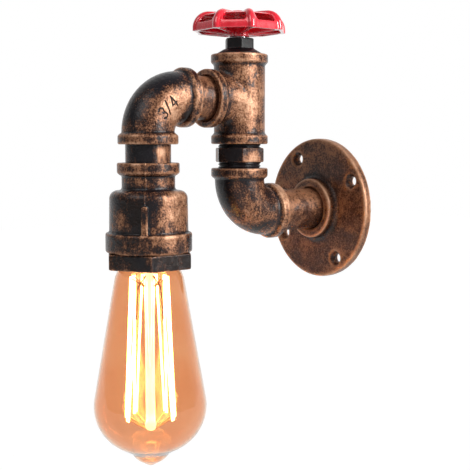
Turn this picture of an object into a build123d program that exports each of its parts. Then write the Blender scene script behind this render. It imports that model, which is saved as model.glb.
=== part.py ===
from build123d import *
import os
from math import cos, degrees, radians, sin, sqrt, tan

os.makedirs("parts", exist_ok=True)

# Industrial pipe wall light, in millimetres. The origin is the centre of the flange's back face, on the wall.
# The wall is the plane y = 0 and the light stands out of it along -Y; +Z is up.

# ---- the pipe run --------------------------------------------------------------------------------------
WALL_TO_RISER = 68.8  # wall to the upright axis
RISER_TO_LAMP = 65.6  # upright axis to the lamp's axis
ARM_HEIGHT = 68.4  # wall nipple's axis up to the arm's axis
PIPE_R = 13.0  # three-quarter inch nipples, outside
PIPE_WALL = 2.8
THREAD_IN = 10.5  # how far an end is screwed into its fitting
THREAD_CLEARANCE = 0.1  # between a screwed end and the fitting round it
THREAD_RUNOUT = 1.0  # fitting bore left beyond a screwed end
END_BEVEL = 0.8  # on nipple ends
MOUTH_BEVEL = 1.2  # lead-in of each threaded mouth
PIPE_BORE_R = PIPE_R - PIPE_WALL
MOUTH_R = PIPE_R + THREAD_CLEARANCE
MOUTH_DEPTH = THREAD_IN + THREAD_RUNOUT

# ---- cast fittings -------------------------------------------------------------------------------------
BAND_R = PIPE_R + 4.25  # raised band round every mouth
BAND_WIDTH = 6.1
BAND_BEVEL = 1.3  # on the band's inner edge
BAND_EDGE = 0.5  # bevel on its outer edge
FITTING_WALL = 2.9
ELBOW_REACH = 27.0  # axes' crossing to a mouth
ELBOW_BEND_R = 20.5
ELBOW_BODY_R = PIPE_R + 2.05
TEE_HALF_RUN = 26.9
TEE_BRANCH_REACH = 26.2
TEE_BODY_R = PIPE_R + 2.5
TEE_BRANCH_R = PIPE_R + 1.7
TEE_FILLET = 3.4

# ---- wall flange ---------------------------------------------------------------------------------------
FLANGE_R = 45.0
FLANGE_THICKNESS = 5.35
FLANGE_RIM_ROUND = 1.3
HUB_R = PIPE_R + 6.25
HUB_PROUD = 6.5
HUB_FILLET = 3.0
HUB_ROUND = 1.2
NIPPLE_SETBACK = 1.5  # the wall nipple's end stays this far inside the back face
SCREW_CIRCLE_R = 36.45
SCREW_COUNT = 4
SCREW_FIRST_ANGLE = 30.2
SCREW_HOLE_R = 2.75
SCREW_SINK_R = 5.1

# ---- hexagon nipple between lower elbow and tee --------------------------------------------------------
HEX_NIPPLE_FLATS = 2 * PIPE_R + 1.4
HEX_NIPPLE_ABOVE_ELBOW = 3.7  # thread left showing under the hexagon
HEX_NIPPLE_ABOVE = 2.3  # thread left showing over it
HEX_BEVEL = 1.0

# ---- bonnet, spindle and handwheel ---------------------------------------------------------------------
BONNET_RIM_R = PIPE_R + 0.4
BONNET_RIM_HEIGHT = 0.7
BONNET_NECK_R = BONNET_RIM_R - 3.9
BONNET_NECK_HEIGHT = 3.0
BONNET_FLATS = 16.0
BONNET_HEIGHT = 9.5
SPINDLE_R = 4.0
SPINDLE_CLEARANCE = 0.05
SPINDLE_ROUND = 0.5  # on its foot
ORING_WIRE_R = 1.15
ORING_BELOW_TOP = 5.0  # O-ring's centre below the bonnet's top
RUNNING_GAP = 0.2  # end play of the spindle at each end
SPINDLE_COLLAR_R = SPINDLE_R + 1.4
SPINDLE_COLLAR_HEIGHT = 0.4
SPINDLE_FOOT = 1.6  # spindle below the clip
SQUARE_SIDE = 1.5 * SPINDLE_R
SQUARE_CLEARANCE = 0.1  # all round
CLIP_R = SPINDLE_R + 2.4
CLIP_THICKNESS = 0.8
CLIP_GROOVE_R = SPINDLE_R - 0.9
WHEEL_APOTHEM = 26.3  # axis to the middle of a rim panel
WHEEL_PANEL_HEIGHT = 10.2  # rim's lower edge to the crown plate
WHEEL_SHOULDER_R = 8.6
WHEEL_WALL = 2.0
WHEEL_PLATE = 1.3
WHEEL_SIDES = 8
WHEEL_RIB_R = 2.5
WHEEL_RIB_REACH = 28.9  # axis to a rib's outside at the rim
WHEEL_RIB_CROWN = 11.9  # rim's lower edge to the top of a rib
WHEEL_RIB_BEND_R = 7.5
WINDOW_WIDTH = 13.4
WINDOW_HEIGHT = 4.2
WINDOW_SILL = 4.7  # rim's lower edge to a window
WINDOW_CORNER_R = 1.2
WEB_THICKNESS = 1.6
WHEEL_HUB_R = SPINDLE_R + 2.4
WHEEL_HUB_DROP = 3.0  # hub below the rim's lower edge
BOSS_R = 9.6
BOSS_HEIGHT = 12.0
BOSS_RECESS_R = 6.8
BOSS_RECESS_DEPTH = 3.0
BOSS_FLOOR = 1.8  # below the recess
BOSS_BEVEL = 0.4
WHEEL_SCREW_R = 2.0
WHEEL_SCREW_LENGTH = 9.0
WHEEL_SCREW_HEAD_R = 3.8
WHEEL_SCREW_HEAD = 2.2
WHEEL_SCREW_DOME = 1.2  # round on the head
WHEEL_SCREW_POINT = 0.4  # round on the other end
WHEEL_WASHER_R = BOSS_RECESS_R - 0.8
WHEEL_WASHER = 0.8

# ---- socket cup and collar, measured down from the cup's mouth -------------------------------------------
DROP_GAP = 10.3  # pipe left showing between upper elbow and cup
CUP_BAND_R = PIPE_R + 4.8
CUP_BAND_WIDTH = 5.6
CUP_BAND_BEVEL = 1.5
CUP_NECK_R = PIPE_R + 2.2
CUP_SHOULDER = 15.4  # mouth to the shoulder
CUP_SHOULDER_FALL = 0.6
CUP_SHOULDER_ROUND = 4.6
CUP_NECK_ROUND = 1.5  # where the neck meets the shoulder
CUP_BELL_FLARE = 0.4
CUP_SKIRT = 39.5  # mouth to the lower band
CUP_SKIRT_PROUD = 2.55
CUP_SKIRT_ROUND = 1.3
CUP_HEIGHT = 50.8
CUP_WEB_TOP = 15.1  # mouth to the inner web that carries the lampholder
CUP_WEB = 3.0
CUP_RIB_ANGLES = (-38.4, 141.6)
CUP_RIB_WIDTH = 3.8
CUP_RIB_PROUD = 1.5
CUP_RIB_TOP = 23.4  # mouth to the top of a side rib
CUP_RIB_FOOT = 41.1  # mouth to its other end, inside the lower band
CUP_RIB_ROUND = 1.8
COLLAR_HEIGHT = 9.0
COLLAR_WALL = 2.4  # thread to bore
COLLAR_THREAD_INSET = 3.35  # inside the cup's lower band
COLLAR_FLATS_INSET = 1.75
COLLAR_THREAD_LENGTH = 8.5
COLLAR_BEVEL = 1.0

# ---- lampholder ----------------------------------------------------------------------------------------
ROD_R = 5.0  # hollow threaded rod
ROD_BORE_R = 3.6
ROD_CLEARANCE = 0.2
ROD_ABOVE_WEB = 6.5
NUT_FLATS = 14.0
NUT_HEIGHT = 3.0
WASHER_R = 8.0
WASHER_THICKNESS = 1.0
STRAP_THICKNESS = 1.2
STRAP_WIDTH = 12.0
STRAP_DROP = 12.5  # length of the strap's legs
STRAP_BEND_R = 2.0
STRAP_ROOM = 0.9  # between the strap's screws and the cup
STRAP_COLLAR_R = 6.6
STRAP_COLLAR_HEIGHT = 1.8
STRAP_SCREW_DROP = 8.1  # web's underside to the strap's screws
CERAMIC_WALL = 3.2  # round the screw shell
CERAMIC_DROP = 4.2  # web's underside to the ceramic's top
CERAMIC_FLAT = 1.5  # depth of the flats that the strap's legs lie on
CERAMIC_FLAT_LENGTH = 9.0
CERAMIC_ROUND = 1.0
CERAMIC_FLOOR = 6.0
CERAMIC_LENGTH = 26.5
POCKET_LENGTH = 8.2  # terminal pocket, outward from the axis
POCKET_WIDTH = 10.0
POCKET_DEPTH = 3.2
POCKET_ROUND = 1.0
POCKET_PLACE = 10.9  # axis to the pocket's middle
CAP_R = 13.1  # screw cap of the bulb
CAP_CLEARANCE = 0.3
SHELL_WALL = 0.6
SHELL_LENGTH = 18.5
SHELL_LUG = 5.0  # width of the shell's inner ledge
CONTACT_STRIP = 0.6  # thickness of the contact springs
CONTACT_WIDTH = 6.0
CONTACT_BEND_R = 0.45
CONTACT_SLOT = 7.9  # axis to the springs' upright legs
CONTACT_TAB_REACH = 13.0
CONTACT_FOOT = 1.4  # shell's outside to the end of the side spring's foot
CONTACT_TONGUE_REACH = 3.0  # centre spring's free end past the axis
CONTACT_GAP = 0.25
SLOT_CLEARANCE = 0.4  # on the width of a spring's slot
SCREW_R = 1.5
SCREW_HEAD_R = 2.7
SCREW_HEAD = 1.5
SCREW_CLEARANCE = 0.1
STRAP_SCREW_LENGTH = 6.0
TERMINAL_SCREW_LENGTH = 2.6
TERMINAL_PLACE = 11.0  # axis to a terminal screw

# ---- bulb, measured down from its contact tip ------------------------------------------------------------
CUP_TO_TIP = 30.1  # cup's mouth to the bulb's contact
TIP_R = 4.7
TIP_HEIGHT = 1.1
TIP_ROUND = 0.6
TIP_GAP = 0.1
INSULATOR_TOP_R = 5.2
INSULATOR_HEIGHT = 2.6
CAP_TOP = 3.8
CAP_THREAD_TOP = 5.6
CAP_THREAD_FOOT = 22.0
CAP_FLARE = 24.0
CAP_LENGTH = 26.5
CAP_WALL = 0.4
CAP_SHOULDER = 1.5
CAP_RIM_R = CAP_R + 0.5
INSULATOR_R = CAP_R - 2.1
INSULATOR_PLUG_R = CAP_R - 2.6
GLASS_WALL = 0.9
NECK_R = CAP_R - 0.7
NECK_TOP = 8.0
GLASS_OUTLINE = [  # the envelope below the neck: distance from the axis, depth below the tip, round
    (NECK_R, 26.2, 1.0),
    (18.9, 30.4, 14.5),
    (35.7, 125.1, 26.8),
    (10.7, 138.5, 3.4),
    (6.2, 142.6, 1.0),
    (1.6, 146.3, 2.0),
    (0, 146.3),
]
FLARE_TOP = 14.0  # stem's flare, fused to the neck
FLARE_FOOT = 26.0
FLARE_WAIST = 17.6
FLARE_WAIST_R = 5.9
PRESS_R = 4.2
STEM_ROD_R = 2.7
STEM_ROD_TOP = 32.0
STEM_BUTTON = 121.0
STEM_BUTTON_R = 3.2
STEM_END = 125.8
STEM_END_ROUND = 2.9
STRAND_COUNT = 14
STRAND_GAP_FACES = -32.4  # the cage is open to this side, in degrees from +X
STRAND_GAP = 90.0  # width of that opening, in degrees
CAGE_TOP_R = 10.6
CAGE_LOW_R = 14.4
CAGE_TOP = 35.5
CAGE_LOW = 118.0
STRAND_HOOK = 1.6  # width of the filament's turn round a hook
FILAMENT_R = 0.3
LEAD_END = 59.0
LEAD_FOOT = 34.6
LEAD_SPREAD_R = 9.0
LEAD_SHOULDER = 40.0
LEAD_BEND_R = 3.0
WIRE_R = 0.4
WIRE_ROOT_CLEARANCE = 0.32  # keeps a wire's slanted end face out of the glass
UPPER_SUPPORT_ROOT = 41.0
LOWER_SUPPORT_ROOT = 124.0

# ---- places worked out from the sizes above ------------------------------------------------------------
OUT = Vector(0, -1, 0)  # away from the wall
UP = Vector(0, 0, 1)
DOWN = Vector(0, 0, -1)
ACROSS = Vector(1, 0, 0)
RISER_Y = -WALL_TO_RISER
LAMP_Y = -(WALL_TO_RISER + RISER_TO_LAMP)
LOWER_CROSSING = (0, RISER_Y, 0)
TEE_CROSSING = (0, RISER_Y, ARM_HEIGHT)
UPPER_CROSSING = (0, LAMP_Y, ARM_HEIGHT)
CUP_MOUTH_Z = ARM_HEIGHT - ELBOW_REACH - DROP_GAP
TEE_TOP = ARM_HEIGHT + TEE_HALF_RUN
BONNET_TOP = TEE_TOP + BONNET_HEIGHT
HUB_FOOT = BONNET_TOP + RUNNING_GAP + SPINDLE_COLLAR_HEIGHT
RIM = HUB_FOOT + WHEEL_HUB_DROP  # the wheel's lower rim
SHELL_BORE_R = CAP_R + CAP_CLEARANCE
SHELL_R = SHELL_BORE_R + SHELL_WALL
CERAMIC_R = SHELL_R + CERAMIC_WALL
STRAP_REACH = CERAMIC_R - CERAMIC_FLAT + STRAP_THICKNESS
CUP_BELL_BORE_R = STRAP_REACH + SCREW_HEAD + STRAP_ROOM
CUP_BELL_R = CUP_BELL_BORE_R + FITTING_WALL
CUP_SKIRT_R = CUP_BELL_R + CUP_SKIRT_PROUD
COLLAR_THREAD_R = CUP_SKIRT_R - COLLAR_THREAD_INSET
COLLAR_BORE_R = COLLAR_THREAD_R - COLLAR_WALL
COLLAR_FLATS = 2 * (CUP_SKIRT_R - COLLAR_FLATS_INSET)


def section_along(origin, radial, axial):
    """Section plane: sketch x is the distance from the axis, sketch y runs along it."""
    return Plane(origin=origin, x_dir=radial, z_dir=radial.cross(axial))


def rounded_outline(corners):
    """Closed outline through (x, y) corners; a third number is that corner's fillet radius."""
    points = [corner[:2] for corner in corners]
    radii = [corner[2] if len(corner) > 2 else 0 for corner in corners]
    FilletPolyline(*points, radius=radii, close=True)


def turned(section, corners, mode=Mode.ADD):
    """Turn the rounded outline about the section's y axis, inside the open part."""
    with BuildSketch(section) as profile:
        with BuildLine():
            rounded_outline(corners)
        make_face()
    revolve(profile.sketch.faces(), axis=Axis(section.origin, section.y_dir), mode=mode)


def bored_mouth(section, reach):
    """Raised band and threaded bore of one mouth, at the given distance along the section's axis."""
    inner = reach - BAND_WIDTH
    band = [
        (0, inner),
        (BAND_R - BAND_BEVEL, inner),
        (BAND_R, inner + BAND_BEVEL),
        (BAND_R, reach - BAND_EDGE),
        (BAND_R - BAND_EDGE, reach),
        (0, reach),
    ]
    bore = [
        (0, reach - MOUTH_DEPTH),
        (MOUTH_R, reach - MOUTH_DEPTH),
        (MOUTH_R, reach - MOUTH_BEVEL),
        (MOUTH_R + MOUTH_BEVEL, reach),
        (0, reach),
    ]
    turned(section, band)
    turned(section, bore, mode=Mode.SUBTRACT)


def cast_elbow(at):
    """Elbow whose axes cross at the plane's origin and whose mouths face along its x and y."""
    with BuildLine(at) as path:
        Line((ELBOW_REACH, 0), (ELBOW_BEND_R, 0))
        CenterArc((ELBOW_BEND_R, ELBOW_BEND_R), ELBOW_BEND_R, 270, -90)
        Line((0, ELBOW_BEND_R), (0, ELBOW_REACH))
    run = path.wires()[0]
    mouth = Plane(origin=run @ 0, z_dir=run % 0)
    with BuildPart() as elbow:
        with BuildSketch(mouth):
            Circle(ELBOW_BODY_R)
        sweep(path=run)
        for axial, radial in ((at.x_dir, at.y_dir), (at.y_dir, at.x_dir)):
            bored_mouth(section_along(at.origin, radial, axial), ELBOW_REACH)
        with BuildSketch(mouth):
            Circle(ELBOW_BODY_R - FITTING_WALL)
        sweep(path=run, mode=Mode.SUBTRACT)
    return elbow


def pipe_nipple(end, length):
    """Pipe that starts on the plane and runs along its normal, with bevelled ends."""
    with BuildPart() as nipple:
        with BuildSketch(end):
            Circle(PIPE_R)
        extrude(amount=length)
        chamfer(nipple.edges().filter_by(GeomType.CIRCLE), length=END_BEVEL)
        with BuildSketch(end):
            Circle(PIPE_BORE_R)
        extrude(amount=length, mode=Mode.SUBTRACT)
    return nipple


def bevelled_hexagon(foot, flats, height, bevel):
    """Hexagon bar standing on the plane, corners on its y axis, its ends turned down to a cone."""
    corner_r = flats / sqrt(3)
    drop = bevel * tan(radians(30))
    with BuildPart() as bar:
        with BuildSketch(foot):
            RegularPolygon(radius=corner_r, side_count=6, rotation=30)
        extrude(amount=height)
        cone = [
            (0, 0),
            (corner_r - bevel, 0),
            (corner_r, drop),
            (corner_r, height - drop),
            (corner_r - bevel, height),
            (0, height),
        ]
        turned(section_along(foot.origin, foot.x_dir, foot.z_dir), cone, mode=Mode.INTERSECT)
    return bar.part


# ---- wall flange and its nipple --------------------------------------------------------------------------
hub_top = FLANGE_THICKNESS + HUB_PROUD
with BuildPart() as wall_flange:
    turned(
        section_along(Vector(0, 0, 0), ACROSS, OUT),
        [
            (MOUTH_R, 0),
            (FLANGE_R, 0),
            (FLANGE_R, FLANGE_THICKNESS, FLANGE_RIM_ROUND),
            (HUB_R, FLANGE_THICKNESS, HUB_FILLET),
            (HUB_R, hub_top, HUB_ROUND),
            (MOUTH_R + MOUTH_BEVEL, hub_top),
            (MOUTH_R, hub_top - MOUTH_BEVEL),
        ],
    )
    with Locations(Plane(origin=OUT * FLANGE_THICKNESS, x_dir=ACROSS, z_dir=OUT)):
        with PolarLocations(SCREW_CIRCLE_R, SCREW_COUNT, start_angle=SCREW_FIRST_ANGLE):
            CounterSinkHole(SCREW_HOLE_R, SCREW_SINK_R, depth=FLANGE_THICKNESS, counter_sink_angle=90)
wall_flange.part.label = "wall_flange"
export_step(wall_flange.part, "parts/wall_flange.step")

wall_nipple = pipe_nipple(
    Plane(origin=OUT * NIPPLE_SETBACK, z_dir=OUT),
    WALL_TO_RISER - ELBOW_REACH + THREAD_IN - NIPPLE_SETBACK,
)
wall_nipple.part.label = "wall_nipple"
export_step(wall_nipple.part, "parts/wall_nipple.step")

# ---- lower elbow and hexagon nipple ------------------------------------------------------------------------
lower_elbow = cast_elbow(Plane(origin=LOWER_CROSSING, x_dir=-OUT, z_dir=(-OUT).cross(UP)))
lower_elbow.part.label = "lower_elbow"
export_step(lower_elbow.part, "parts/lower_elbow.step")

hex_foot = ELBOW_REACH + HEX_NIPPLE_ABOVE_ELBOW
hex_top = ARM_HEIGHT - TEE_HALF_RUN - HEX_NIPPLE_ABOVE
with BuildPart() as hex_nipple:
    add(
        pipe_nipple(
            Plane(origin=(0, RISER_Y, ELBOW_REACH - THREAD_IN)),
            ARM_HEIGHT - TEE_HALF_RUN - ELBOW_REACH + 2 * THREAD_IN,
        ).part
    )
    add(bevelled_hexagon(Plane(origin=(0, RISER_Y, hex_foot)), HEX_NIPPLE_FLATS, hex_top - hex_foot, HEX_BEVEL))
    with BuildSketch(Plane(origin=(0, RISER_Y, hex_foot))):
        Circle(PIPE_BORE_R)
    extrude(amount=hex_top - hex_foot, mode=Mode.SUBTRACT)
hex_nipple.part.label = "hex_nipple"
export_step(hex_nipple.part, "parts/hex_nipple.step")

# ---- tee -------------------------------------------------------------------------------------------------
with BuildPart() as tee:
    with BuildSketch(Plane(origin=TEE_CROSSING).offset(-TEE_HALF_RUN)):
        Circle(TEE_BODY_R)
    extrude(amount=2 * TEE_HALF_RUN)
    with BuildSketch(Plane(origin=TEE_CROSSING, z_dir=OUT)):
        Circle(TEE_BRANCH_R)
    extrude(amount=TEE_BRANCH_REACH)
    crossing = tee.edges().filter_by(GeomType.CIRCLE, reverse=True).filter_by(GeomType.LINE, reverse=True)
    fillet(crossing, radius=TEE_FILLET)
    for axial, reach in ((UP, TEE_HALF_RUN), (DOWN, TEE_HALF_RUN), (OUT, TEE_BRANCH_REACH)):
        bored_mouth(section_along(Vector(*TEE_CROSSING), ACROSS, axial), reach)
    with BuildSketch(Plane(origin=TEE_CROSSING).offset(-TEE_HALF_RUN)):
        Circle(TEE_BODY_R - FITTING_WALL)
    extrude(amount=2 * TEE_HALF_RUN, mode=Mode.SUBTRACT)
    with BuildSketch(Plane(origin=TEE_CROSSING, z_dir=OUT)):
        Circle(TEE_BRANCH_R - FITTING_WALL)
    extrude(amount=TEE_BRANCH_REACH, mode=Mode.SUBTRACT)
tee.part.label = "tee"
export_step(tee.part, "parts/tee.step")

branch_nipple = pipe_nipple(
    Plane(origin=Vector(*TEE_CROSSING) + OUT * (TEE_BRANCH_REACH - THREAD_IN), z_dir=OUT),
    RISER_TO_LAMP - TEE_BRANCH_REACH - ELBOW_REACH + 2 * THREAD_IN,
)
branch_nipple.part.label = "branch_nipple"
export_step(branch_nipple.part, "parts/branch_nipple.step")

upper_elbow = cast_elbow(Plane(origin=UPPER_CROSSING, x_dir=-OUT, z_dir=(-OUT).cross(DOWN)))
upper_elbow.part.label = "upper_elbow"
export_step(upper_elbow.part, "parts/upper_elbow.step")

drop_nipple = pipe_nipple(
    Plane(origin=(0, LAMP_Y, ARM_HEIGHT - ELBOW_REACH + THREAD_IN), z_dir=DOWN),
    DROP_GAP + 2 * THREAD_IN,
)
drop_nipple.part.label = "drop_nipple"
export_step(drop_nipple.part, "parts/drop_nipple.step")

# ---- bonnet and O-ring -----------------------------------------------------------------------------------
riser_top = Vector(0, RISER_Y, TEE_TOP)
riser_section = section_along(riser_top, ACROSS, UP)
spindle_bore_r = SPINDLE_R + SPINDLE_CLEARANCE
oring_r = spindle_bore_r + ORING_WIRE_R
oring_at = BONNET_HEIGHT - ORING_BELOW_TOP
groove_half = ORING_WIRE_R + THREAD_CLEARANCE
with BuildPart() as bonnet:
    turned(
        riser_section,
        [
            (0, -THREAD_IN),
            (PIPE_R - END_BEVEL, -THREAD_IN),
            (PIPE_R, -THREAD_IN + END_BEVEL),
            (PIPE_R, 0),
            (BONNET_RIM_R, 0),
            (BONNET_RIM_R, BONNET_RIM_HEIGHT),
            (BONNET_NECK_R, BONNET_NECK_HEIGHT),
            (0, BONNET_NECK_HEIGHT),
        ],
    )
    add(bevelled_hexagon(Plane(origin=riser_top), BONNET_FLATS, BONNET_HEIGHT, HEX_BEVEL))
    turned(
        riser_section,
        [
            (0, -THREAD_IN),
            (spindle_bore_r, -THREAD_IN),
            (spindle_bore_r, oring_at - groove_half),
            (oring_r + groove_half, oring_at - groove_half),
            (oring_r + groove_half, oring_at + groove_half),
            (spindle_bore_r, oring_at + groove_half),
            (spindle_bore_r, BONNET_HEIGHT),
            (0, BONNET_HEIGHT),
        ],
        mode=Mode.SUBTRACT,
    )
bonnet.part.label = "bonnet"
export_step(bonnet.part, "parts/bonnet.step")

with BuildPart() as spindle_oring:
    with BuildSketch(riser_section):
        with Locations((oring_r, oring_at)):
            Circle(ORING_WIRE_R)
    revolve(axis=Axis(riser_top, UP))
spindle_oring.part.label = "spindle_oring"
export_step(spindle_oring.part, "parts/spindle_oring.step")

# ---- spindle, its clip, and the handwheel ------------------------------------------------------------------
clip_top = -THREAD_IN - RUNNING_GAP
clip_foot = clip_top - CLIP_THICKNESS
collar_foot = BONNET_HEIGHT + RUNNING_GAP
collar_top = collar_foot + SPINDLE_COLLAR_HEIGHT
boss_floor = RIM - TEE_TOP + BOSS_HEIGHT - BOSS_RECESS_DEPTH  # under the wheel's washer
spindle_top = boss_floor - RUNNING_GAP
with BuildPart() as spindle:
    turned(
        riser_section,
        [
            (0, clip_foot - SPINDLE_FOOT),
            (SPINDLE_R, clip_foot - SPINDLE_FOOT, SPINDLE_ROUND),
            (SPINDLE_R, clip_foot - SPINDLE_CLEARANCE),
            (CLIP_GROOVE_R, clip_foot - SPINDLE_CLEARANCE),
            (CLIP_GROOVE_R, clip_top + SPINDLE_CLEARANCE),
            (SPINDLE_R, clip_top + SPINDLE_CLEARANCE),
            (SPINDLE_R, collar_foot),
            (SPINDLE_COLLAR_R, collar_foot),
            (SPINDLE_COLLAR_R, collar_top),
            (0, collar_top),
        ],
    )
    with BuildSketch(Plane(origin=riser_top).offset(collar_top)):
        Rectangle(SQUARE_SIDE, SQUARE_SIDE)
    extrude(amount=spindle_top - collar_top)
    with BuildSketch(Plane(origin=riser_top).offset(spindle_top)):
        Circle(WHEEL_SCREW_R + SPINDLE_CLEARANCE)
    extrude(amount=-WHEEL_SCREW_LENGTH, mode=Mode.SUBTRACT)
spindle.part.label = "spindle"
export_step(spindle.part, "parts/spindle.step")

with BuildPart() as spindle_clip:
    with BuildSketch(Plane(origin=riser_top).offset(clip_foot)):
        Circle(CLIP_R)
        Circle(CLIP_GROOVE_R + SPINDLE_CLEARANCE, mode=Mode.SUBTRACT)
        with Locations((0, -CLIP_R)):
            Rectangle(2 * CLIP_GROOVE_R * sin(radians(60)), 2 * CLIP_R, mode=Mode.SUBTRACT)
    extrude(amount=CLIP_THICKNESS)
spindle_clip.part.label = "spindle_clip"
export_step(spindle_clip.part, "parts/spindle_clip.step")

rim_centre = Vector(0, RISER_Y, RIM)
side_angle = 360 / WHEEL_SIDES


def facing(angle):
    """Level unit vector at this angle from +X."""
    return Vector(cos(radians(angle)), sin(radians(angle)), 0)


def octagon_dome(apothem, height, shoulder_r):
    """Flat-sided dome on the rim plane: what four arched bars, crossed at equal angles, have in common."""
    arch = [(-apothem, 0), (-apothem, height, shoulder_r), (apothem, height, shoulder_r), (apothem, 0)]
    with BuildPart() as dome:
        for turn in range(WHEEL_SIDES // 2):
            with BuildSketch(section_along(rim_centre, facing(turn * side_angle), UP)) as bar:
                with BuildLine():
                    rounded_outline(arch)
                make_face()
            extrude(
                bar.sketch.faces(),
                amount=apothem * sqrt(2),
                both=True,
                mode=Mode.ADD if turn == 0 else Mode.INTERSECT,
            )
    return dome.part


rib_line_r = WHEEL_RIB_REACH - WHEEL_RIB_R
rib_line_top = WHEEL_RIB_CROWN - WHEEL_RIB_R
with BuildPart() as handwheel:
    add(octagon_dome(WHEEL_APOTHEM, WHEEL_PANEL_HEIGHT, WHEEL_SHOULDER_R))
    add(
        octagon_dome(
            WHEEL_APOTHEM - WHEEL_WALL,
            WHEEL_PANEL_HEIGHT - WHEEL_PLATE,
            WHEEL_SHOULDER_R - WHEEL_WALL,
        ),
        mode=Mode.SUBTRACT,
    )
    for side in range(WHEEL_SIDES):
        window_middle = rim_centre + UP * (WINDOW_SILL + WINDOW_HEIGHT / 2)
        outward = facing(side * side_angle)
        with BuildSketch(Plane(origin=window_middle, x_dir=UP.cross(outward), z_dir=outward)):
            RectangleRounded(WINDOW_WIDTH, WINDOW_HEIGHT, WINDOW_CORNER_R)
        extrude(amount=WHEEL_RIB_REACH, mode=Mode.SUBTRACT)
    for side in range(WHEEL_SIDES):
        rib_section = section_along(rim_centre, facing((side + 0.5) * side_angle), UP)
        with BuildSketch(rib_section):
            with BuildLine():
                Polyline(
                    (0, -WHEEL_HUB_DROP / 2),
                    (WHEEL_HUB_R, -WHEEL_HUB_DROP / 2),
                    (rib_line_r, 0),
                    (rib_line_r, rib_line_top - WHEEL_RIB_BEND_R),
                    (rib_line_r - WHEEL_RIB_BEND_R, WHEEL_PANEL_HEIGHT),
                    (0, WHEEL_PANEL_HEIGHT),
                    close=True,
                )
            make_face()
        extrude(amount=WEB_THICKNESS / 2, both=True)
        with BuildLine(rib_section) as rib_line:
            Line((rib_line_r, 0), (rib_line_r, rib_line_top - WHEEL_RIB_BEND_R))
            CenterArc(
                (rib_line_r - WHEEL_RIB_BEND_R, rib_line_top - WHEEL_RIB_BEND_R), WHEEL_RIB_BEND_R, 0, 90
            )
            Line((rib_line_r - WHEEL_RIB_BEND_R, rib_line_top), (BOSS_RECESS_R + WHEEL_WALL / 2, rib_line_top))
        rib_path = rib_line.wires()[0]
        with BuildSketch(Plane(origin=rib_path @ 0, z_dir=rib_path % 0)):
            Circle(WHEEL_RIB_R)
        sweep(path=rib_path)
    recess_floor = BOSS_HEIGHT - BOSS_RECESS_DEPTH
    turned(
        section_along(rim_centre, ACROSS, UP),
        [
            (0, -WHEEL_HUB_DROP),
            (WHEEL_HUB_R - BOSS_BEVEL, -WHEEL_HUB_DROP),
            (WHEEL_HUB_R, -WHEEL_HUB_DROP + BOSS_BEVEL),
            (WHEEL_HUB_R, recess_floor - BOSS_FLOOR),
            (BOSS_R, recess_floor - BOSS_FLOOR),
            (BOSS_R, BOSS_HEIGHT, 2 * BOSS_BEVEL),
            (0, BOSS_HEIGHT),
        ],
    )
    turned(
        section_along(rim_centre, ACROSS, UP),
        [
            (0, recess_floor),
            (BOSS_RECESS_R, recess_floor),
            (BOSS_RECESS_R, BOSS_HEIGHT - BOSS_BEVEL),
            (BOSS_RECESS_R + BOSS_BEVEL, BOSS_HEIGHT),
            (0, BOSS_HEIGHT),
        ],
        mode=Mode.SUBTRACT,
    )
    with BuildSketch(Plane(origin=rim_centre).offset(-WHEEL_HUB_DROP)):
        Rectangle(SQUARE_SIDE + 2 * SQUARE_CLEARANCE, SQUARE_SIDE + 2 * SQUARE_CLEARANCE)
    extrude(amount=WHEEL_HUB_DROP + BOSS_HEIGHT, mode=Mode.SUBTRACT)
handwheel.part.label = "handwheel"
export_step(handwheel.part, "parts/handwheel.step")

boss_floor_plane = Plane(origin=riser_top).offset(boss_floor)
with BuildPart() as wheel_washer:
    with BuildSketch(boss_floor_plane):
        Circle(WHEEL_WASHER_R)
        Circle(WHEEL_SCREW_R + SPINDLE_CLEARANCE, mode=Mode.SUBTRACT)
    extrude(amount=WHEEL_WASHER)
wheel_washer.part.label = "wheel_washer"
export_step(wheel_washer.part, "parts/wheel_washer.step")

with BuildPart() as wheel_screw:
    turned(
        section_along(boss_floor_plane.origin, ACROSS, UP),
        [
            (0, WHEEL_WASHER - WHEEL_SCREW_LENGTH),
            (WHEEL_SCREW_R, WHEEL_WASHER - WHEEL_SCREW_LENGTH, WHEEL_SCREW_POINT),
            (WHEEL_SCREW_R, WHEEL_WASHER),
            (WHEEL_SCREW_HEAD_R, WHEEL_WASHER),
            (WHEEL_SCREW_HEAD_R, WHEEL_WASHER + WHEEL_SCREW_HEAD, WHEEL_SCREW_DOME),
            (0, WHEEL_WASHER + WHEEL_SCREW_HEAD),
        ],
    )
wheel_screw.part.label = "wheel_screw"
export_step(wheel_screw.part, "parts/wheel_screw.step")

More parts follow.
